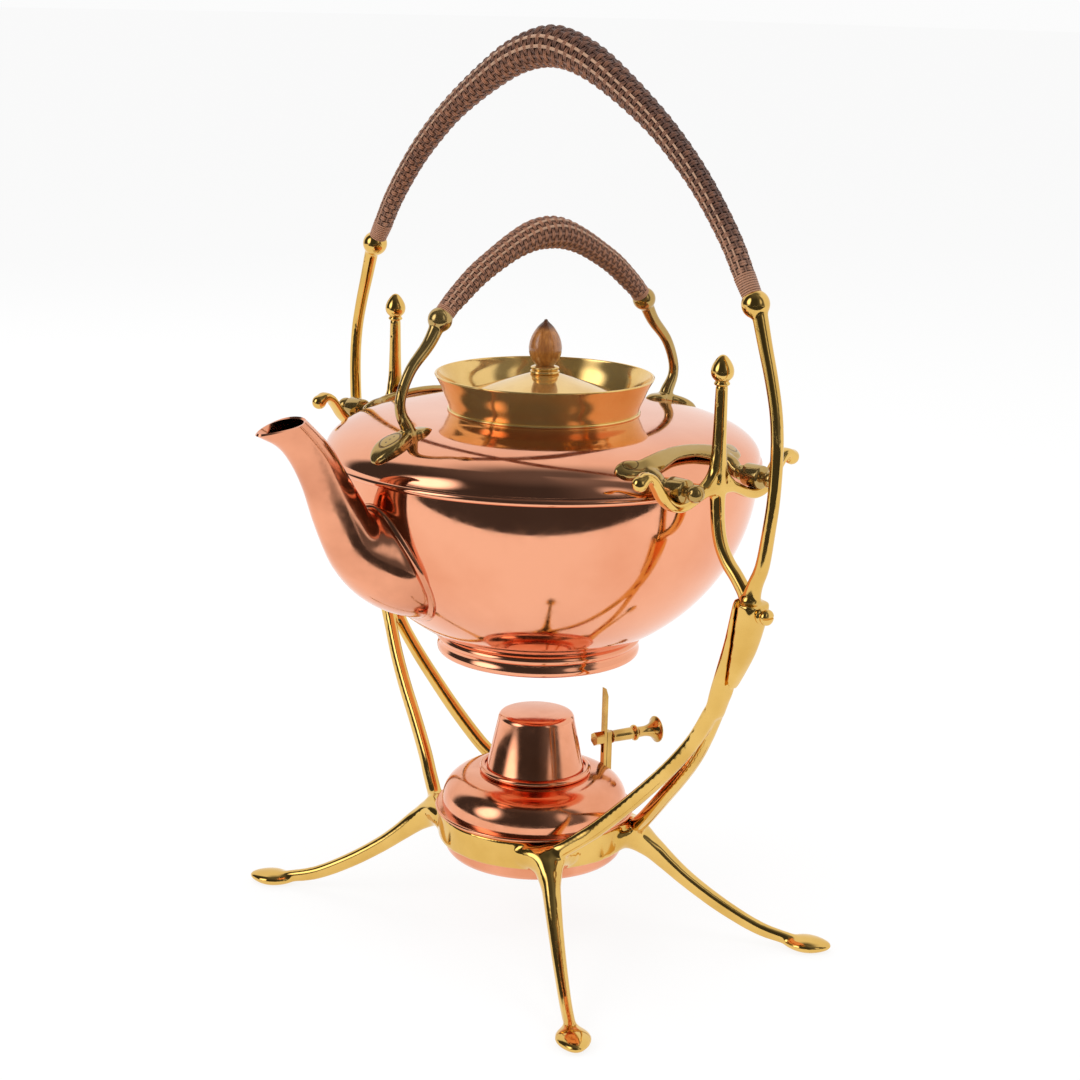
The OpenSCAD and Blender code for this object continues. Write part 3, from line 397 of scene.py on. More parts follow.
# %% [markdown]
# The knob is turned from brown horn-like wood, with a darker tip. The rings of its
# grain run round it, because it was turned on the axis of the lid, and a thin
# varnish gives the soft gloss.

# %% Wood of the knob, cotton of the wick
def ramp(tree, value, *stops):
    colours = add(tree, "ValToRGB", {"Fac": value})
    for stop, (position, colour) in zip(colours.color_ramp.elements, stops):
        stop.position = position
        stop.color = (*colour, 1)
    return colours


def height_over_table(tree):
    return add(tree, "SeparateXYZ", {"Vector": object_place(tree)}).outputs["Z"]


def grained_knob():
    made, tree = material("knob_wood")
    grain = noise(tree, add(tree, "Mapping", {"Vector": object_place(tree), "Scale": (900, 900, 160)}), 1, 5)
    wood = ramp(tree, grain, (0.3, (0.25, 0.08, 0.013)), (0.7, (0.46, 0.175, 0.032)))
    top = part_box("knob")[1].z
    tip = spread(tree, height_over_table(tree), top - 4.8 * MM, top - 2.6 * MM)
    return surfaced(made, add(tree, "BsdfPrincipled", {
        "Base Color": blend(tree, tip, wood, (0.085, 0.028, 0.010)),
        "Roughness": spread(tree, grain, 0, 1, 0.24, 0.42), "Coat Weight": 0.9, "Coat Roughness": 0.07,
        "Normal": bumpy(tree, grain, 0.00003)}))


def braided_cotton():
    made, tree = material("wick_cotton")
    braid = add(tree, "TexVoronoi", {"Vector": object_place(tree), "Scale": 900})
    # Painted shade: the braid's grooves, which the bump sinks, are also coloured darker.
    return surfaced(made, add(tree, "BsdfPrincipled", {
        "Base Color": ramp(tree, braid, (0, (0.88, 0.84, 0.74)), (1, (0.60, 0.54, 0.44))), "Roughness": 0.9,
        "Normal": bumpy(tree, braid, 0.0004, invert=True)}))


knob_wood = grained_knob()
cotton = braided_cotton()
print("wood and cotton ready")

# %% [markdown]
# Cane is split rattan: hard, brown, with long fibres and a thin gloss. Each strand
# keeps its cane colour where it lies on top and is painted nearly black where it dives
# under its neighbour. This is painted shade, and it follows a height that the woven mesh
# carries with it. The outer side of the arch is coloured darker, and some lengthwise
# stakes are a paler cane: two more values on the mesh say where.

# %% Cane
PALE_CANE, WORN_END, PAINTED_DIP_SHADE = (0.50, 0.29, 0.18), (0.44, 0.22, 0.13), (0.028, 0.011, 0.008)


def cane_material(name, inner, outer, low, high):
    made, tree = material(name)
    where = object_place(tree)
    drift = spread(tree, noise(tree, where, 160, 4), 0.3, 0.7, -0.35, 0.35)
    # The outer side of the arch is coloured darker, and a noise drifts it a little at random.
    darker_outer_side = add(tree, "Math", {0: carried(tree, "outer"), 1: drift}, operation="ADD")
    strand = blend(tree, carried(tree, "pale"), blend(tree, darker_outer_side, inner, outer), PALE_CANE)
    worn = blend(tree, spread(tree, height_over_table(tree), low, high, 0.7, 0.0), strand, WORN_END)
    # Painted shade: where a strand lies low and dives under its neighbour, its colour is blended towards near black.
    top = spread(tree, carried(tree, "lift"), 0.25, 0.95)
    fibre = noise(tree, where, 2600, 2)
    return surfaced(made, add(tree, "BsdfPrincipled", {
        "Base Color": blend(tree, top, PAINTED_DIP_SHADE, worn), "Roughness": spread(tree, fibre, 0, 1, 0.32, 0.55),
        "Normal": bumpy(tree, fibre, 0.00006)}))


handle_low, grip_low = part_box("carrying_handle_wrap")[0].z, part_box("kettle_grip_wrap")[0].z
handle_cane = cane_material("handle_cane", (0.36, 0.145, 0.07), (0.13, 0.056, 0.034),
                            handle_low + 8 * MM, handle_low + 30 * MM)
grip_cane = cane_material("grip_cane", (0.42, 0.18, 0.09), (0.33, 0.145, 0.08), grip_low, grip_low + 14 * MM)
print("cane ready")

# %% [markdown]
# Some pieces are hidden, such as the iron rods in the handles, the skirt under the lid
# and the wick. They keep their turned or bent solids, and each solid gets the
# metal, the wood or the cotton that it is made of.

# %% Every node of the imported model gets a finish
FINISH = {
    "stand_brass": brass, "handle_rod": iron, "kettle_copper": copper, "kettle_brass": kettle_brass,
    "burner_copper": burner_copper, "burner_brass": burner_brass, "horn_wood": knob_wood,
    "cotton": cotton, "cane": handle_cane}
for part in frame["record"]["subparts"]:
    node = NODES[part["node"]]
    node.data.materials.clear()
    node.data.materials.append(FINISH[part["material_slot"]])

# %% [markdown]
# Both handles are wound with cane over lengthwise stakes: each turn passes over one
# stake and under the next, and the turn beside it does the opposite. Each turn is
# two thin strands side by side. So one pair of turns is modelled straight, as four
# rings with waves in them, and repeated. A curve then bends the straight sleeve into
# its pointed arch and swells it in the middle.

# %% A smooth line through the points of an arch
def smooth_line(points, steps):
    line = []
    for i in range(len(points) - 1):
        a = [2 * p - q for p, q in zip(points[0], points[1])] if i == 0 else points[i - 1]
        b, c = points[i], points[i + 1]
        d = [2 * q - p for p, q in zip(b, c)] if i == len(points) - 2 else points[i + 2]
        for j in range(steps):
            t = j / steps
            line.append([0.5 * (2 * q + (r - p) * t + (2 * p - 5 * q + 4 * r - s) * t ** 2
                                + (3 * q - p - 3 * r + s) * t ** 3) for p, q, r, s in zip(a, b, c, d)])
    return line + [list(points[-1])]


def arch_line(half, low, rise, shape, end_r, mid_r):
    left = [(half * u, low + rise * v, end_r + (mid_r - end_r) * w) for u, v, w in shape]
    return smooth_line(left + [(-p[0], p[1], p[2]) for p in reversed(left[:-1])], 6)


HANDLE_R, HANDLE_Z, GRIP_R, GRIP_Z = 115.1, 284.0, 56.25, 268.5
handle_arch = arch_line(HANDLE_R, HANDLE_Z, 89.6, [
    (-1, 0, 0), (-0.946, 0.109, 0.115), (-0.88, 0.246, 0.167), (-0.77, 0.421, 0.22), (-0.663, 0.558, 0.29),
    (-0.527, 0.7, 0.365), (-0.343, 0.848, 0.573), (-0.174, 0.953, 0.81), (0, 1, 1)], 3.7, 8.5)
grip_arch = arch_line(GRIP_R, GRIP_Z, 31.2, [
    (-1, 0, 0), (-0.917, 0.155, 0.08), (-0.853, 0.255, 0.18), (-0.676, 0.508, 0.31), (-0.501, 0.696, 0.4),
    (-0.32, 0.862, 0.58), (-0.142, 0.972, 0.87), (0, 1, 1)], 3.9, 6.8)
print("arch points", len(handle_arch), len(grip_arch))

# %% [markdown]
# The sleeve is built in its own order: strands, stakes and a core make one tile, the
# tile is repeated along the handle, and a few closer turns bind both ends.

# %% The woven sleeve, straight
COLUMNS = 12


def wound_ring(name, x, radius, thick, wide, wave, phase):
    bpy.ops.mesh.primitive_torus_add(major_segments=4 * COLUMNS, minor_segments=6, major_radius=radius,
                                     minor_radius=thick, rotation=(0, math.pi / 2, 0))
    ring = bpy.context.object
    bpy.ops.object.transform_apply(rotation=True)
    for v in ring.data.vertices:
        turn = math.atan2(v.co.z, v.co.y)
        away = math.hypot(v.co.y, v.co.z) + wave * math.cos(COLUMNS / 2 * turn + phase)
        v.co = (v.co.x * wide / thick + x, away * math.cos(turn), away * math.sin(turn))
    ring.name = name
    carry(ring, "pale", lambda place: 0)
    return ring


def join(name, things):
    only_selected(things[0])
    for thing in things:
        thing.select_set(True)
    bpy.ops.object.join()
    made = bpy.context.object
    made.name = name
    made.data.name = name
    return made


def changed(thing, kind, **settings):
    only_selected(thing)
    change = thing.modifiers.new(kind, kind)
    for name, value in settings.items():
        setattr(change, name, value)
    bpy.ops.object.modifier_apply(modifier=change.name)


def repeat(thing, count, step):
    changed(thing, "ARRAY", count=count, use_relative_offset=False, use_constant_offset=True,
            constant_offset_displace=(step, 0, 0), use_merge_vertices=True, merge_threshold=1e-5)


def stake(x, step, radius, turn, half_wide, half_thick, pale):
    bpy.ops.mesh.primitive_cube_add(size=2, rotation=(turn, 0, 0),
        location=(x + step / 2, radius * math.cos(turn), radius * math.sin(turn)),
        scale=(step / 2, half_thick, half_wide))
    bar = bpy.context.object
    bpy.ops.object.transform_apply(location=True, rotation=True, scale=True)
    bpy.ops.object.mode_set(mode="EDIT")
    bpy.ops.mesh.select_mode(type="FACE")
    bpy.ops.mesh.select_all(action="DESELECT")
    bpy.ops.object.mode_set(mode="OBJECT")
    for face in bar.data.polygons:
        face.select = abs(face.normal.x) > 0.9
    bpy.ops.object.mode_set(mode="EDIT")
    bpy.ops.mesh.delete(type="ONLY_FACE")
    bpy.ops.object.mode_set(mode="OBJECT")
    carry(bar, "pale", lambda place: pale)
    return bar


def woven_sleeve(name, length, radius, pitch, bound, pale):
    thick, wave = 0.075 * radius, 0.045 * radius
    middle = radius - thick - wave
    pair = [wound_ring("strand", bound + (k + 0.5 + shift) * pitch, middle, thick, 0.25 * pitch, wave, math.pi * k)
            for k in (0, 1) for shift in (-0.2, 0.2)]
    for k in range(COLUMNS):
        turn = 2 * math.pi * k / COLUMNS
        seen = k in pale
        pair.append(stake(bound, 2 * pitch, middle, turn, 0.08 * radius, (0.085 if seen else 0.05) * radius, seen))
    bpy.ops.mesh.primitive_cylinder_add(vertices=16, radius=middle - wave, depth=2 * pitch,
        end_fill_type="NOTHING", location=(bound + pitch, 0, 0), rotation=(0, math.pi / 2, 0))
    core = bpy.context.object
    bpy.ops.object.transform_apply(location=True, rotation=True)
    carry(core, "pale", lambda place: 0)
    tile = join(name, pair + [core])
    count = round((length - 2 * bound) / (2 * pitch))
    step = (length - 2 * bound) / count
    for v in tile.data.vertices:
        v.co.x = bound + (v.co.x - bound) * step / (2 * pitch)
    repeat(tile, count, step)
    ends = []
    fine = bound / round(bound / (0.4 * pitch))
    for start in (0, length - bound):
        ring = wound_ring("binding", start + fine / 2, radius * 0.93, 0.07 * radius, 0.5 * fine, 0, 0)
        repeat(ring, round(bound / fine), fine)
        ends.append(ring)
    sleeve = join(name, [tile] + ends)
    # The lift is how far each point stands out from the core. It drives the cane's painted shade in the dips.
    low, high = middle - wave, radius
    carry(sleeve, "lift", lambda place: (math.hypot(place.y, place.z) - low) / (high - low))
    carry(sleeve, "outer", lambda place: 0.5 + 0.5 * math.sin(math.atan2(place.z, place.y)))
    return sleeve


def bend_to_arch(thing, arch, widest, place):
    line = bpy.data.curves.new(thing.name + "_line", "CURVE")
    line.dimensions = "3D"
    line.use_radius = line.use_stretch = line.use_deform_bounds = True
    line.twist_mode = "MINIMUM"
    spline = line.splines.new("POLY")
    spline.points.add(len(arch) - 1)
    for point, (u, z, r) in zip(spline.points, arch):
        point.co = (*place(u, z), 1)
        point.radius = r / widest
    path = bpy.data.objects.new(line.name, line)
    scene.collection.objects.link(path)
    changed(thing, "CURVE", object=path, deform_axis="POS_X")
    bpy.data.objects.remove(path)
    bpy.ops.object.shade_smooth()


def line_length(arch):
    return sum(math.dist(p[:2], q[:2]) for p, q in zip(arch, arch[1:]))


def dress(piece, metal, body, slot, *nodes):
    piece.data.materials.clear()
    piece.data.materials.append(metal)
    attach(piece, body)
    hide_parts(*nodes)
    print(piece.name, "faces", len(piece.data.polygons))


def cane_sleeve(name, arch, pitch, bound, pale, place, cane, body, node):
    widest = max(p[2] for p in arch)
    sleeve = woven_sleeve(name, line_length(arch) * MM, widest * MM, pitch * MM, bound * MM, pale)
    bend_to_arch(sleeve, [(u * MM, z * MM, r) for u, z, r in arch], widest, place)
    dress(sleeve, cane, body, "cane", node)


cane_sleeve("carrying_handle_cane", handle_arch, 2.4, 12, (0, 1, 5, 6),
    lambda u, z: (AXIS_X * MM, -u, z), handle_cane, "stand", "carrying_handle_wrap")
cane_sleeve("kettle_grip_cane", grip_arch, 1.8, 5, (1, 2, 4, 5),
    lambda u, z: (AXIS_X * MM + u, 0, z), grip_cane, "kettle", "kettle_grip_wrap")

# %% [markdown]
# The stand was cast and then filed and polished, so its bars have no sharp edges
# and flow into each other. Each bar starts as a small circle that is extruded ring
# by ring along the bar's middle line, with its own width and thickness at each step.
# The bars are then joined and rebuilt as one skin of small squares, and the skin is
# relaxed a little, which rounds the edges and fills the inner corners as filing does.

# %% A bar, extruded ring by ring
def on_axis(*place):
    return Vector((place[0] + AXIS_X, place[1], place[2])) * MM


def bar_rings(steps, face, fine=4, sides=20, square=2.0):
    line = smooth_line(steps, fine)
    rings = []
    for i, step in enumerate(line):
        before, after = line[max(i - 1, 0)], line[min(i + 1, len(line) - 1)]
        along = (Vector(after[:3]) - Vector(before[:3])).normalized()
        up = Vector(face(step)) if callable(face) else Vector(face)
        thick = (up - up.dot(along) * along).normalized()
        wide = thick.cross(along)
        ring = []
        for k in range(sides):
            c, q = math.cos(2 * math.pi * k / sides), math.sin(2 * math.pi * k / sides)
            a = math.copysign(abs(c) ** (2 / square), c) * step[3]
            b = math.copysign(abs(q) ** (2 / square), q) * step[4]
            ring.append(on_axis(*(Vector(step[:3]) + wide * a + thick * b)))
        rings.append(ring)
    return rings


def extruded(name, rings, closed=True):
    bpy.ops.object.select_all(action="DESELECT")
    bpy.ops.mesh.primitive_circle_add(vertices=len(rings[0]), radius=0.01, fill_type="NGON" if closed else "NOTHING")
    bar = bpy.context.object
    bar.name = name
    for v, place in zip(bar.data.vertices, rings[0]):
        v.co = place
    bpy.ops.object.mode_set(mode="EDIT")
    bpy.ops.mesh.select_mode(type="VERT")
    bpy.ops.mesh.select_all(action="SELECT")
    for before, after in zip(rings, rings[1:]):
        bpy.ops.mesh.extrude_region_move()
        grown = bmesh.from_edit_mesh(bar.data)
        for v in grown.verts:
            if v.select:
                v.co = after[min(range(len(before)), key=lambda k: (before[k] - v.co).length_squared)]
        bmesh.update_edit_mesh(bar.data)
    bpy.ops.mesh.select_all(action="SELECT")
    bpy.ops.mesh.normals_make_consistent(inside=False)
    bpy.ops.object.mode_set(mode="OBJECT")
    return bar


def bar(steps, face, **shape):
    return extruded("bar", bar_rings(steps, face, **shape))


def ball(x, y, z, r):
    bpy.ops.mesh.primitive_uv_sphere_add(segments=40, ring_count=20, radius=r * MM, location=on_axis(x, y, z))
    bpy.ops.object.transform_apply(location=True)
    return bpy.context.object


def copied(thing, flip_x=False, flip_y=False):
    only_selected(thing)
    bpy.ops.object.duplicate()
    twin = bpy.context.object
    for v in twin.data.vertices:
        v.co.x = 2 * AXIS_X * MM - v.co.x if flip_x else v.co.x
        v.co.y = -v.co.y if flip_y else v.co.y
    if flip_x != flip_y:
        twin.data.flip_normals()
    return twin


def dress_pair(piece, twin_name, flip, metal, body, slot, node, twin_node):
    twin = copied(piece, **{flip: True})
    twin.name = twin_name
    dress(piece, metal, body, slot, node)
    dress(twin, metal, body, slot, twin_node)


def cast(name, bars, square, passes):
    thing = join(name, bars)
    changed(thing, "REMESH", mode="VOXEL", voxel_size=square * MM)
    changed(thing, "SMOOTH", factor=0.5, iterations=passes)
    bpy.ops.object.shade_smooth()
    return thing


def drilled(thing, *holes):
    for hole in holes:
        changed(thing, "BOOLEAN", operation="DIFFERENCE", solver="MANIFOLD", object=hole)
        bpy.data.objects.remove(hole)
    only_selected(thing)
    bpy.ops.object.shade_smooth_by_angle(angle=math.radians(40))


def rod(r, start, end, sides=64):
    line = end - start
    bpy.ops.mesh.primitive_cylinder_add(vertices=sides, radius=r * MM, depth=line.length, location=(start + end) / 2)
    made = bpy.context.object
    made.rotation_mode = "QUATERNION"
    made.rotation_quaternion = line.to_track_quat("Z", "Y")
    bpy.ops.object.transform_apply(location=True, rotation=True)
    return made


def block(size, place, turn=0.0):
    bpy.ops.mesh.primitive_cube_add(size=MM, location=place, rotation=(0, 0, turn), scale=size)
    bpy.ops.object.transform_apply(location=True, rotation=True, scale=True)
    return bpy.context.object


print("casting tools ready")

# %% [markdown]
# Burner ring, legs and side frames are one casting. A leg, a root and a strut are
# each made once and copied to their corners. The head of each side frame is sawn off
# along a slant: the frame keeps the inner half, and the bow gets the outer one.

# %% Legs, ring and side frames
FOOT_TURN, RING_R, RING_Z, RING_HIGH, RING_HOLE_R = math.radians(-55.943), 41.7, 44.55, 12.5, 39.3
SAW_AT, SAW_ACROSS, SAW_GAP = (0, -118.3, 170.1), Vector((0, 0.985, 0.1725)), 0.75


def turned_out(steps):
    c, q = math.cos(FOOT_TURN), math.sin(FOOT_TURN)
    return [(p[0] * c - p[1] * q, p[0] * q + p[1] * c, *p[2:]) for p in steps]


ACROSS_LEG = (-math.sin(FOOT_TURN), math.cos(FOOT_TURN), 0)


def leg():
    steps = [(0, 0, 4.5, 5.6), (0.1, 0.13, 4.1, 4.9), (0.22, 0.31, 3.7, 4), (0.35, 0.49, 3.3, 3.6),
             (0.55, 0.72, 2.9, 3.4), (0.78, 0.925, 2.6, 3.1), (1, 1.02, 2.5, 2.6)]
    path = [(46.2 + 70.2 * u, 0, 43.1 - 39.1 * v, high, wide) for u, v, wide, high in steps]
    return bar(turned_out(path), ACROSS_LEG, square=2.6)


def root():
    steps = [(-4.5, 0, 14.6, 5.7), (-1.2, 0, 13.6, 5.9), (1.4, 0.2, 11.2, 6.1), (3.6, 1.2, 8.4, 6.2),
             (6, 2.6, 6.4, 5.9), (9, 4.8, 5.2, 5.2), (12.5, 7.5, 4.3, 4.4), (16, 10.6, 3.6, 3.6)]
    return bar(turned_out([(RING_R + u, 0, RING_Z - v, high, wide) for u, v, wide, high in steps]), ACROSS_LEG,
               sides=32, square=2.6)


def foot_pad():
    rings = []
    for high, share in ((-2.8, 0.55), (-2.4, 0.72), (-1.5, 0.9), (-0.4, 0.99), (0.3, 1), (1.0, 0.93), (2.0, 0.72),
                        (2.8, 0.42), (3.1, 0.12)):
        ring = []
        for k in range(32):
            t = 2 * math.pi * k / 32
            u = 121.43 + 10.5 * share * math.cos(t) * (1 + 0.04 * math.cos(2 * t))
            v = 6.8 * share * math.sin(t) * (1 - 0.1 * math.cos(2 * t))
            ring.append(on_axis(*turned_out([(u, v, 2.8 + high)])[0]))
        rings.append(ring)
    return extruded("pad", rings)


def head():
    steps = [(-15.6, -50, 3.1, 4.2), (-12.5, -40, 4.1, 4.1), (-8.6, -31, 5.2, 4.5), (-4, -20, 6.2, 5.2),
             (-1.3, -11, 6.3, 6), (0.4, -4, 6.1, 6.5), (1, 0, 5.7, 6.5)]
    return bar([(0, -119.4 - u, 171 + v, wide, thick) for u, v, wide, thick in steps], (1, 0, 0), sides=32, square=3.2)


def sawn(thing, away, keep_inner):
    only_selected(thing)
    halved(on_axis(*SAW_AT) + SAW_ACROSS * away * MM, SAW_ACROSS, use_fill=True, clear_inner=keep_inner,
           clear_outer=not keep_inner)
    return thing


def strut():
    steps = [(0, 0, 0), (0.12, 0.06, 0.034), (0.26, 0.17, 0.114), (0.39, 0.27, 0.193), (0.56, 0.45, 0.352),
             (0.69, 0.62, 0.51), (0.82, 0.775, 0.67), (0.94, 0.9, 0.83), (1, 1, 1)]
    path = [(24.38 - 22.48 * u, -38.18 - 65.82 * v, 47.4 + 75.6 * w, 3.5 - 0.3 * w, 2.9 - 0.4 * w)
            for u, v, w in steps]
    return bar(path, (1, 0, 0), square=3.0)


def stand_base():
    swelling = ball(*turned_out([(RING_R + 2.6, 0, 45.4)])[0], 6)
    corner = join("corner", [leg(), root(), swelling, foot_pad(), strut()])
    inner = sawn(head(), SAW_GAP, True)
    bpy.ops.mesh.primitive_cylinder_add(vertices=160, radius=RING_R * MM, depth=RING_HIGH * MM,
                                        location=on_axis(0, 0, RING_Z))
    band = bpy.context.object
    bpy.ops.object.transform_apply(location=True)
    bars = [band, inner, copied(inner, flip_y=True), corner, copied(corner, flip_x=True), copied(corner, flip_y=True),
            copied(corner, flip_x=True, flip_y=True)]
    base = cast("stand_base", bars, 0.65, 28)
    drilled(base, rod(RING_HOLE_R, on_axis(0, 0, 20), on_axis(0, 0, 80), 160))
    return base


dress(stand_base(), brass, "stand", "stand_brass", "burner_ring", "leg_front_left", "leg_front_right",
      "leg_back_left", "leg_back_right", "side_frame_left", "side_frame_right")

# %% [markdown]
# A bow rises from a round boss at the head to the ball that ends the carrying handle.
# Its section is round, so the dark room draws one dark band down its middle. At the
# foot it swells into a knuckle that closes over the head.

# %% Bows
def bow():
    steps = [(0, 0, 3.6), (0.06, 0.03, 3.3), (0.2, 0.065, 3), (0.52, 0.13, 2.75), (0.76, 0.245, 2.55),
             (0.95, 0.37, 2.45), (1, 0.52, 2.4), (0.86, 0.645, 2.4), (0.51, 0.76, 2.5), (0.07, 0.87, 2.7),
             (-0.42, 1, 3)]
    rising = bar([(0, -120.2 - 9.2 * u, 171 + 113 * v, r, r + 0.2) for u, v, r in steps], (1, 0, 0), square=2.1)
    knuckle, end = ball(0, -119.6, 170.6, 4.4), ball(0, -HANDLE_R, HANDLE_Z, 5.5)
    return cast("bow_casting_right", [rising, knuckle, end, sawn(head(), -SAW_GAP, False)], 0.5, 14)


dress_pair(bow(), "bow_casting_left", "flip_y", brass, "stand", "stand_brass", "bow_right", "bow_left")

# %% [markdown]
# A cradle arm is a post on a curved foot. Its cross strap dips into a cradle for each
# pin, curls up at both ends and swells into the post where they cross.

# %% Cradle arms
POST_Y, PIN_X, PIN_Z, STRAP_Z = 100, 21, 213.6, 207


def cradle_arm():
    post = [(18.2, -42.6, 1.2, 1.15), (16.2, -39.4, 1.15, 1.1), (12, -34.6, 1.1, 1.1), (7.4, -30.2, 1.08, 1.1),
            (3.5, -24.2, 1.06, 1.1), (1.3, -16.6, 1.06, 1.12), (0.4, -7, 1.08, 1.23), (0.2, 0, 1.15, 1.61),
            (0, 7, 1.11, 1.54), (0, 13, 1.04, 1.19), (0, 22, 0.96, 1.04), (0, 31, 0.92, 0.96), (0, 38, 0.88, 0.92)]
    half = [(0, 4.6, 2.4), (7, 4.4, 2.3), (12, 2.6, 2.1), (16.5, 0.7, 2.1), (21, 0.1, 2.3), (25.5, 1.2, 2.1),
            (29.5, 4.4, 2), (33, 9, 1.8), (36, 12.6, 1.8), (39.2, 13.7, 1.9), (42, 11.6, 2)]
    strap = [(-u, v, r) for u, v, r in reversed(half[1:])] + half
    swell = [(1.5, 8, 1.4, 2.2), (3.7, 2.6, 1.7, 2.6), (6.8, -0.6, 1.8, 2.9), (10, -3, 1.5, 3.1),
             (13.2, -4.8, 1.3, 3.1)]
    bars = [bar([(0, -POST_Y - u, PIN_Z + v, 2.6 * a, 2.6 * b) for u, v, a, b in post], (1, 0, 0), square=2.15),
            bar([(u, -POST_Y, STRAP_Z + v, r, 3.2) for u, v, r in strap], (0, 1, 0), sides=24, square=3.2)]
    for side in (-1, 1):
        bars += [ball(side * 42, -POST_Y, STRAP_Z + 11.6, 3.2),
                 bar([(side * u, -POST_Y, PIN_Z + v, a, b) for u, v, a, b in swell], (0, 1, 0))]
    made = cast("cradle_casting_right", bars, 0.5, 14)
    drilled(made, *[rod(4.7, on_axis(x, -130, PIN_Z), on_axis(x, -60, PIN_Z)) for x in (-PIN_X, PIN_X)])
    return made


dress_pair(cradle_arm(), "cradle_casting_left", "flip_y", brass, "stand", "stand_brass", "cradle_arm_right",
           "cradle_arm_left")

# %% [markdown]
# The kettle's brass sits on the copper shoulder: a grip arm with a leaf foot at the
# front and the back, and a bracket with a leaf at both ends on each side. A leaf is
# nearly flat on top with a full, rounded edge, so its section is a soft rectangle.

# %% Grip arms
SHOULDER_R, SHOULDER_Z, SHOULDER_HIGH, SHOULDER_BEND = 90.5, 209, 17.4, 4.5


def shoulder_height(r):
    fall = (min(r, SHOULDER_R) / SHOULDER_R) ** SHOULDER_BEND
    return SHOULDER_Z + SHOULDER_HIGH * math.sqrt(max(0, 1 - fall))


def shoulder_up(step):
    r = math.hypot(step[0], step[1])
    fall = shoulder_height(r + 0.5) - shoulder_height(r - 0.5)
    return Vector((-fall * step[0] / r, -fall * step[1] / r, 1)).normalized()


def grip_arm():
    leaf = [(60, -0.4, 0.8, 0.7), (63.5, 0.3, 2.6, 1.5), (67.5, 0.6, 3.7, 1.9), (71.5, 0.9, 2.8, 2.2),
            (75.5, 0.9, 4.8, 2.3), (79.5, 0.8, 6.2, 2.4), (83.5, 0.6, 6.0, 2.3), (86.8, 0.1, 4.2, 2.0),
            (88.4, -0.3, 1.6, 1.2)]
    arm = [(0, 0, 3.2), (0.28, -9.3, 2.7), (0.7, -18.4, 2.35), (0.93, -28, 2.2), (0.95, -35, 2.3), (0.78, -41.5, 2.9),
           (0.74, -45.5, 3.4)]
    bars = [bar([(-u, 0, shoulder_height(u) + v, a, b) for u, v, a, b in leaf], shoulder_up, sides=32, square=3.4),
            bar([(-GRIP_R - 20.5 * u, 0, GRIP_Z + v, r, r) for u, v, r in arm], (0, 1, 0)),
            ball(-GRIP_R, 0, GRIP_Z, 5)]
    return cast("grip_arm_casting_front", bars, 0.4, 14)


dress_pair(grip_arm(), "grip_arm_casting_back", "flip_x", kettle_brass, "kettle", "kettle_brass",
           "grip_arm_front", "grip_arm_back")

# %% [markdown]
# A side bracket is one strap, cast with a leaf at both ends and laid on the shoulder.
# Two short arms bend down from it and hold the pins that lie in the cradles.

# %% Side brackets
def side_bracket():
    half = [(33, -11.1, -0.4, 1.2, 1), (31.7, -10.9, 0.4, 3.1, 1.7), (28.3, -9.9, 0.9, 4.3, 2),
            (23.5, -8.1, 1.2, 3.8, 2.1), (18.5, -7.4, 1.7, 4.2, 2), (12, -8.2, 2.1, 3.8, 1.7), (6, -9, 2.4, 3.3, 1.5),
            (0, -9.2, 2.5, 3.2, 1.5)]
    placed = [(x, -90 - out, shoulder_height(math.hypot(x, 90 + out)) + lift, wide, thick)
              for x, out, lift, wide, thick in half]
    bars = [bar([(-p[0], *p[1:]) for p in placed] + list(reversed(placed[:-1])), shoulder_up, sides=28, square=3.4)]
    for side in (-1, 1):
        bars.append(bar([(side * 21.6, -82, 218.1, 2.8, 2.4), (side * 21.3, -87, 216.4, 3.0, 2.6),
            (side * 21, -89.7, 214.1, 2.9, 2.7), (side * 21, -92, 213.6, 2.8, 2.8)], (0, 0, 1), square=2.4))
    return cast("bracket_casting_right", bars, 0.4, 14)


dress_pair(side_bracket(), "bracket_casting_left", "flip_y", kettle_brass, "kettle", "kettle_brass",
           "side_bracket_right", "side_bracket_left")

# %% [markdown]
# The spout is raised from one sheet, closed by a seam along its upper side, and
# brazed to the bowl on a narrow lap. Its section changes from a deep oval at the root
# to a small beak at the mouth, so it too is extruded ring by ring, from the edge of
# the lap up to the lip. Thickness comes last, and goes inwards.

# %% Spout
BOWL_R, BOWL_Z, BOWL_DROP = 90, 204.5, 82.5
SPOUT_SIDES, SPOUT_RINGS, CLOSER_AT_ROOT = 56, 40, 1.25
SPOUT = [(-56, -57.5, -80, -12, 15, -0.3), (-70, -54.2, -84, -8, 18, -0.3), (-83, -49.3, -87, -7.5, 18.3, -0.26),
         (-95, -41, -90.5, -8.5, 14.8, -0.15), (-104.6, -30.5, -93.6, -9.2, 11.4, -0.05),
         (-110.6, -20.4, -96.6, -3.4, 9.2, 0), (-115.8, -8.6, -101, 3.6, 7.8, 0), (-120.4, 4, -105.8, 11, 7.1, 0),
         (-126.3, 15, -111.4, 19.6, 6.6, 0.05), (-133, 22.7, -118.4, 26.8, 6.2, 0.15),
         (-143, 28.2, -123.6, 31.6, 6.2, 0.35)]


def inside_bowl(p):
    return math.hypot(p.x, p.y) ** 2 / BOWL_R ** 2 + (p.z - BOWL_Z) ** 2 / BOWL_DROP ** 2 - 1


def bowl_out(p):
    return Vector((p.x / BOWL_R ** 2, p.y / BOWL_R ** 2, (p.z - BOWL_Z) / BOWL_DROP ** 2)).normalized()


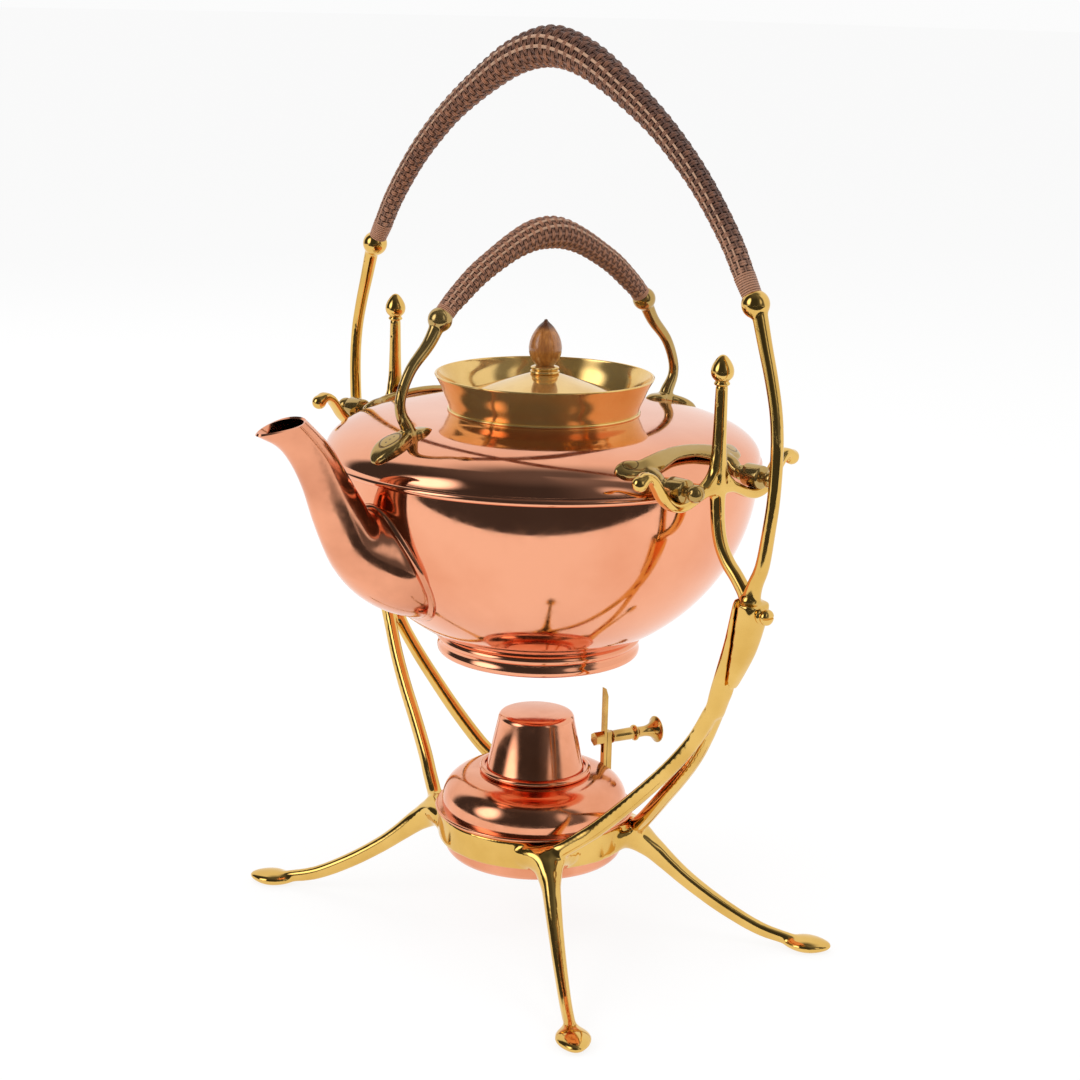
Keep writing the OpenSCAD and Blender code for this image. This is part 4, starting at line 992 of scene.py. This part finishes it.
def spout_line(turn, steps):
    line = []
    for x1, z1, x2, z2, half, beak in steps:
        c = math.cos(turn)
        line.append(Vector(((x1 + x2) / 2 + (x2 - x1) / 2 * c, half * math.sin(turn) * (1 + beak * c),
                            BOWL_Z + (z1 + z2) / 2 + (z2 - z1) / 2 * c)))
    start = max(i for i, p in enumerate(line) if inside_bowl(p) < 0)
    low, high = 0.0, 1.0
    for _ in range(30):
        mid = (low + high) / 2
        low, high = (mid, high) if inside_bowl(line[start].lerp(line[start + 1], mid)) < 0 else (low, mid)
    line = [line[start].lerp(line[start + 1], low)] + line[start + 1:]
    reach = [0.0]
    for p, q in zip(line, line[1:]):
        reach.append(reach[-1] + (q - p).length)
    even = []
    for j in range(SPOUT_RINGS + 1):
        want = reach[-1] * (j / SPOUT_RINGS) ** CLOSER_AT_ROOT
        i = min(max(k for k in range(len(reach)) if reach[k] <= want + 1e-9), len(line) - 2)
        even.append(line[i].lerp(line[i + 1], (want - reach[i]) / (reach[i + 1] - reach[i])))
    return even


def spout():
    steps = smooth_line(SPOUT, 10)
    lines = [spout_line(2 * math.pi * k / SPOUT_SIDES, steps) for k in range(SPOUT_SIDES)]
    middle = sum((line[0] for line in lines), Vector()) / SPOUT_SIDES
    for line in lines:
        foot = line[0]
        out = bowl_out(foot)
        away = (foot - middle) - (foot - middle).dot(out) * out
        away.normalize()
        lap = [foot + away * 1.5 - out * 0.3, foot + away * 1.45 + out * 0.25, foot + away * 1.1 + out * 0.45,
               foot + away * 0.4 + out * 0.45]
        line[0:1] = lap
    rings = [[on_axis(*line[j]) for line in lines] for j in range(len(lines[0]))]
    made = extruded("spout_sheet", rings, closed=False)
    changed(made, "SOLIDIFY", thickness=1.0 * MM, offset=-1)
    bpy.ops.object.shade_smooth_by_angle(angle=math.radians(50))
    return made


dress(spout(), spout_copper, "kettle", "kettle_copper", "spout")

# %% [markdown]
# Body, collar, lid, knob and burner are round: sheet spun over a form, or rod turned
# on a lathe. Each is made the same way here. The outline of its cut section is bent
# from a ring of points and spun about its axis in fine steps, so that reflections run
# over it without a break.

# %% A turned piece
def turned(name, outline, steps=192, place=None, along=(0, 0, 1), sharp=38):
    bpy.ops.object.select_all(action="DESELECT")
    bpy.ops.mesh.primitive_circle_add(vertices=len(outline), radius=0.01, fill_type="NOTHING")
    piece = bpy.context.object
    piece.name = name
    for v, (r, z) in zip(piece.data.vertices, outline):
        v.co = (r * MM, 0, z * MM)
    bpy.ops.object.mode_set(mode="EDIT")
    bpy.ops.mesh.select_all(action="SELECT")
    bpy.ops.mesh.spin(steps=steps, angle=2 * math.pi, center=(0, 0, 0), axis=(0, 0, 1))
    bpy.ops.mesh.select_all(action="SELECT")
    bpy.ops.mesh.remove_doubles(threshold=0.000002)
    bpy.ops.mesh.delete_loose()
    bpy.ops.mesh.select_all(action="SELECT")
    bpy.ops.mesh.normals_make_consistent(inside=False)
    bpy.ops.object.mode_set(mode="OBJECT")
    piece.rotation_mode = "QUATERNION"
    piece.rotation_quaternion = Vector(along).to_track_quat("Z", "Y")
    piece.location = place or on_axis(0, 0, 0)
    bpy.ops.object.transform_apply(location=True, rotation=True)
    bpy.ops.object.shade_smooth_by_angle(angle=math.radians(sharp))
    return piece


def arc(r, z, half, first, last, steps):
    turns = [math.radians(first + (last - first) * i / steps) for i in range(steps + 1)]
    return [(r + half * math.cos(t), z + half * math.sin(t)) for t in turns]


def raised(outline, lift):
    return [(r, z + lift) for r, z in outline]


print("lathe ready")

# %% [markdown]
# The body is two shells: a bowl, and a shoulder whose rolled edge closes over the
# bowl's rim. A stepped ring is soldered under the bowl.

# %% Kettle body
SHEET, SEAM_Z, FOOT_R = 1.2, 206, 42
HOLE_R, HOLE_PITCH = 1.6, 5.5
FOOT_ANGLE = math.acos(FOOT_R / BOWL_R)
FLOOR_Z = BOWL_Z - BOWL_DROP * math.sin(FOOT_ANGLE)


def bowl_side(inset, steps=56):
    turns = [FOOT_ANGLE * i / steps for i in range(steps + 1)]
    return [((BOWL_R - inset) * math.cos(t), BOWL_Z - (BOWL_DROP - inset) * math.sin(t)) for t in turns]


def kettle_bowl():
    outer = [(BOWL_R, SEAM_Z)] + bowl_side(0) + [(30, FLOOR_Z + 1), (0, FLOOR_Z + 3)]
    inner = [(BOWL_R - SHEET, SEAM_Z)] + bowl_side(SHEET) + [(30, FLOOR_Z + 1 + SHEET), (0, FLOOR_Z + 3 + SHEET)]
    made = turned("bowl_sheet", outer + inner[::-1], 256)
    holes = []
    for row in range(-2, 3):
        for column in (-1, 0, 1):
            y, z = HOLE_PITCH * (column + (row % 2) / 2), BOWL_Z - 32 + HOLE_PITCH * row
            holes.append(rod(HOLE_R, on_axis(-60, y, z), on_axis(-98, y, z), 24))
    drilled(made, join("holes", holes))
    return made


def kettle_shoulder():
    top = math.acos((39.5 / SHOULDER_R) ** (SHOULDER_BEND / 2))
    turns = [top * (1 - i / 80) for i in range(81)]
    outer = [(SHOULDER_R * math.cos(t) ** (2 / SHOULDER_BEND), SHOULDER_Z + SHOULDER_HIGH * math.sin(t))
             for t in turns]
    inner = [(r * (BOWL_R - SHEET) / SHOULDER_R, z - SHEET) for r, z in outer]
    roll = arc(89.9, SEAM_Z + 1.5, 1.5, 66, -84, 14)
    return turned("shoulder_sheet", outer + roll + [(89.7, SEAM_Z), (BOWL_R - SHEET, SEAM_Z)] + inner[:0:-1], 256)


def kettle_foot():
    side = smooth_line([(1, -0.4), (1.4, -1.6), (0.9, -2.8)], 4)
    step = smooth_line([(0.2, -3.3), (0.4, -4.6), (1, -6.2), (0.8, -7.8), (-0.1, -8.5)], 4)
    inside = [(-1.4, -8.5), (-1.8, -7.5), (-1.6, -2), (-2.4, -1), (-2.4, 2)]
    return turned("foot_ring", [(FOOT_R + r, FLOOR_Z + z) for r, z in [(-0.8, 1.1)] + side + step + inside])


dress(kettle_bowl(), copper, "kettle", "kettle_copper", "kettle_bowl")
dress(kettle_shoulder(), copper, "kettle", "kettle_copper", "kettle_shoulder")
dress(kettle_foot(), copper, "kettle", "kettle_copper", "kettle_foot")

# %% [markdown]
# The collar is a flared brass sheet with a bead of solder at its foot and a ledge
# inside, where the lid lies. The lid is a flat cone. Its knob stands on a small
# turned seat.

# %% Collar, lid and knob
COLLAR_Z, LID_Z = 226.3, 229.2
LID_TOP, LID_R = LID_Z + 11.4, 38.9


def collar():
    flare = smooth_line([(39.5, COLLAR_Z + 0.9), (40.1, COLLAR_Z + 3), (41.4, COLLAR_Z + 6), (43.2, COLLAR_Z + 10.4),
                         (45.5, COLLAR_Z + 14.5)], 8)
    inside = [(r - 1, z) for r, z in flare if z > COLLAR_Z + 3.4]
    return turned("collar_sheet", [(39.5, COLLAR_Z - 2)] + arc(39.6, COLLAR_Z + 0.3, 0.6, -60, 60, 8) + flare
                  + arc(45.1, COLLAR_Z + 14.7, 0.5, 0, 180, 8) + inside[::-1] + [
                      (LID_R + 0.3, LID_Z + 0.3), (LID_R + 0.3, LID_Z - 0.3), (LID_R - 1.2, LID_Z - 0.3),
                      (LID_R - 1.2, LID_Z - 1.3), (38.3, LID_Z - 1.9), (38.3, COLLAR_Z - 2)], 256)


def lid_cone():
    return turned("lid_sheet", [(1.3, LID_TOP), (6.4, LID_TOP), (LID_R - 1.6, LID_Z + 1)]
                  + arc(LID_R - 0.9, LID_Z + 1.1, 0.9, -90, 70, 10)
                  + [(6.4, LID_TOP + 1), (1.3, LID_TOP + 1)], 256, sharp=30)


def knob_seat():
    z = LID_TOP + 1
    edge = [(5.6, 0), (6.1, 0.4), (6.2, 0.8), (6.0, 1.3), (5.4, 1.6), (5.8, 2.0), (5.9, 2.4), (5.8, 2.8), (5.2, 3.1),
            (4.3, 3.3), (4.1, 3.4)]
    return turned("seat", raised([(1.3, 0)] + smooth_line(edge, 3) + [(1.3, 3.4)], z), 96, sharp=50)


def acorn():
    side = smooth_line([(3.7, 0), (5.8, 2.66), (6.9, 7.03), (5.93, 11.78), (3.45, 15.96), (1.1, 18.24), (0.7, 19)], 8)
    return turned("knob_acorn", raised([(1.3, 0)] + side + [(0, 19.3), (0, 9), (1.3, 9)], LID_TOP + 4.4), 128,
                  sharp=50)


dress(collar(), collar_brass, "kettle", "kettle_brass", "collar")
dress(lid_cone(), collar_brass, "lid", "kettle_brass", "lid")
dress(knob_seat(), collar_brass, "lid", "kettle_brass", "knob_seat")
dress(acorn(), knob_wood, "lid", "horn_wood", "knob")

# %% [markdown]
# The pins, the finials and the screws are turned from brass rod. One pin is made and
# copied to the four cradles. A slot is cut into each screw's head.

# %% Pins, finials and screws
HEAD_SCREW_Z, FINIAL_Z = 166.4, 251.5


def pin(x, side):
    shank = [(0, 0), (2.9, 0), (3.0, 0.3), (3.0, 0.8), (2.3, 1.4), (2.2, 3.7), (3.9, 3.7), (4.5, 4.1), (4.6, 4.6),
             (4.6, 11.4), (4.5, 11.9), (3.9, 12.3), (2.0, 12.6)]
    outline = shank + arc(0, 16.6, 3.5, -57, 90, 18)
    return turned("pin", outline, 64, on_axis(x, side * 92, PIN_Z), (0, side, 0))


def finial(side):
    edge = [(2.7, 0), (3.1, 0.5), (2.9, 1.1), (2.6, 1.6), (3.2, 2.2), (4.1, 3.4), (4.45, 5.2), (4.1, 7.2), (3.0, 9.3),
            (1.7, 10.9), (0.8, 11.5), (0, 11.7)]
    return turned("finial", [(0, 0)] + smooth_line(edge, 4), 64, on_axis(0, side * POST_Y, FINIAL_Z), sharp=60)


def head_screw(side):
    edge = [(3.0, 8.6), (3.1, 9.6), (2.4, 10.2), (2.5, 10.7), (3.1, 11.6), (3.15, 12.4), (2.7, 13.4), (1.5, 14.0),
            (0, 14.2)]
    made = turned("screw", [(0, 0), (1.5, 0), (1.5, 8.6)] + smooth_line(edge, 4), 64,
                  on_axis(0, side * 116.4, HEAD_SCREW_Z), (0, side, 0), 50)
    drilled(made, block((10, 4, 0.8), on_axis(0, side * 131.2, HEAD_SCREW_Z)))
    return made


for name, x in (("tipping_pins", -PIN_X), ("resting_pins", PIN_X)):
    dress(join("turned_" + name, [pin(x, -1), pin(x, 1)]), kettle_brass, "kettle", "kettle_brass", name)
dress(join("turned_finials", [finial(-1), finial(1)]), brass, "stand", "stand_brass", "post_finials")
dress(join("slotted_screws", [head_screw(-1), head_screw(1)]), brass, "stand", "stand_brass", "head_screws")

# %% [markdown]
# The burner is a flat round reservoir with a flange that lies on the ring. Its neck
# has a beaded rim, and the snuffer stands in it like an upturned cup. The thumb screw
# is a turned handle with a flared end.

# %% Burner
FLANGE_Z, DOME_Z, DOME_R = 51.1, 67.9, 40
BLADE_R, THUMB_R, THUMB_END_R, THUMB_Z = 34.4, 29.3, 37.6, 77.3
REGULATOR_TURN = math.radians(-13)


def dome_side(r, top):
    turns = [math.pi / 2 * i / 40 for i in range(41)]
    return [(22 + (r - 22) * math.sin(t) ** 0.86, FLANGE_Z + 3 + (top - FLANGE_Z - 3) * math.cos(t) ** 0.86)
            for t in turns]


def burner_dome():
    inner = dome_side(DOME_R - 1, DOME_Z - 1)
    outline = [(21, DOME_Z)] + dome_side(DOME_R, DOME_Z) + [(DOME_R, FLANGE_Z + 1.8)] + \
        arc(42.2, FLANGE_Z + 0.8, 0.8, 90, -90, 10) + [(37.8, FLANGE_Z), (37.8, FLANGE_Z + 1)] + \
        inner[::-1] + [(21, DOME_Z - 1)]
    made = turned("dome_sheet", outline, 224)
    blade = on_axis(BLADE_R * math.cos(REGULATOR_TURN), BLADE_R * math.sin(REGULATOR_TURN), FLANGE_Z + 15)
    drilled(made, block((1.7, 3.3, 30), blade, REGULATOR_TURN))
    return made


def burner_base():
    low, r = 31.3, 38.8
    turn = smooth_line([(r - 0.2, low + 4), (r - 0.7, low + 2.6), (r - 2.2, low + 0.9), (r - 4.2, low + 0.1)], 4)
    outer = [(r, FLANGE_Z), (r, low + 5)] + turn + [(r - 6, low), (0, low)]
    inner = [(max(p[0] - 1, 0), p[1] + (1 if p[1] < low + 3 else 0)) for p in outer]
    return turned("base_sheet", outer + inner[::-1])


def burner_neck():
    z, tube = DOME_Z, 12
    return turned("neck_sheet", [(tube - 1.2, z - 7), (tube, z - 7), (tube, z - 1), (21, z - 1), (21, z), (22.6, z)]
                  + arc(22.7, z + 1.4, 1.4, -90, 90, 14) + [(22.0, z + 2.6), (21.6, z + 1.6), (tube, z + 1.6),
                                                          (tube, z + 12.4), (tube - 1.2, z + 12.4)], 160)


def snuffer():
    r, t, h, z = 21, 16.5, 24.6, DOME_Z + 1.9
    outer = [(r, 0)] + [(r, 0.8), (r - 0.3, 1.2), (t + 0.1, h - 3.6)] + \
        smooth_line([(t, h - 3.0), (t - 0.35, h - 1.6), (t - 1.3, h - 0.5), (t - 3, h)], 5) + [(0, h + 0.3)]
    inner = [(r - 1, 0), (r - 1.3, 1.2), (t - 1, h - 4), (t - 1.9, h - 1.6), (t - 3.2, h - 1), (0, h - 0.7)]
    return turned("snuffer_cup", raised(outer + inner[::-1], z), 160)


def thumb_screw():
    k, f = 24, 5.9
    handle = [(2.6, 0.1), (2.9, 0.5), (2.6, 1.1), (2.65, 5), (2.7, k * 0.42), (2.5, k * 0.46), (3.4, k * 0.49),
              (3.5, k * 0.53), (2.6, k * 0.57), (2.3, k * 0.66), (2.4, k * 0.76), (3.1, k * 0.86), (4.6, k * 0.94),
              (5.8, k * 0.972), (f, k * 0.985), (5.7, k * 0.997), (4.6, k * 0.99)]
    out = (math.cos(REGULATOR_TURN), math.sin(REGULATOR_TURN), 0)
    start = on_axis(THUMB_R * out[0], THUMB_R * out[1], THUMB_Z)
    shank = THUMB_END_R - THUMB_R
    return turned("thumb", [(0, 0), (0.8, 0), (0.8, shank)] + raised(smooth_line(handle, 3), shank)
                  + raised([(1.6, k * 0.93), (0, k * 0.93)], shank), 64, start, out, 50)


dress(burner_dome(), burner_copper, "burner", "burner_copper", "burner_dome")
dress(burner_base(), burner_copper, "burner", "burner_copper", "burner_base")
dress(burner_neck(), burner_copper, "burner", "burner_copper", "burner_neck")
dress(snuffer(), burner_copper, "snuffer", "burner_copper", "snuffer")
dress(thumb_screw(), burner_brass, "thumb_screw", "burner_brass", "thumb_screw")
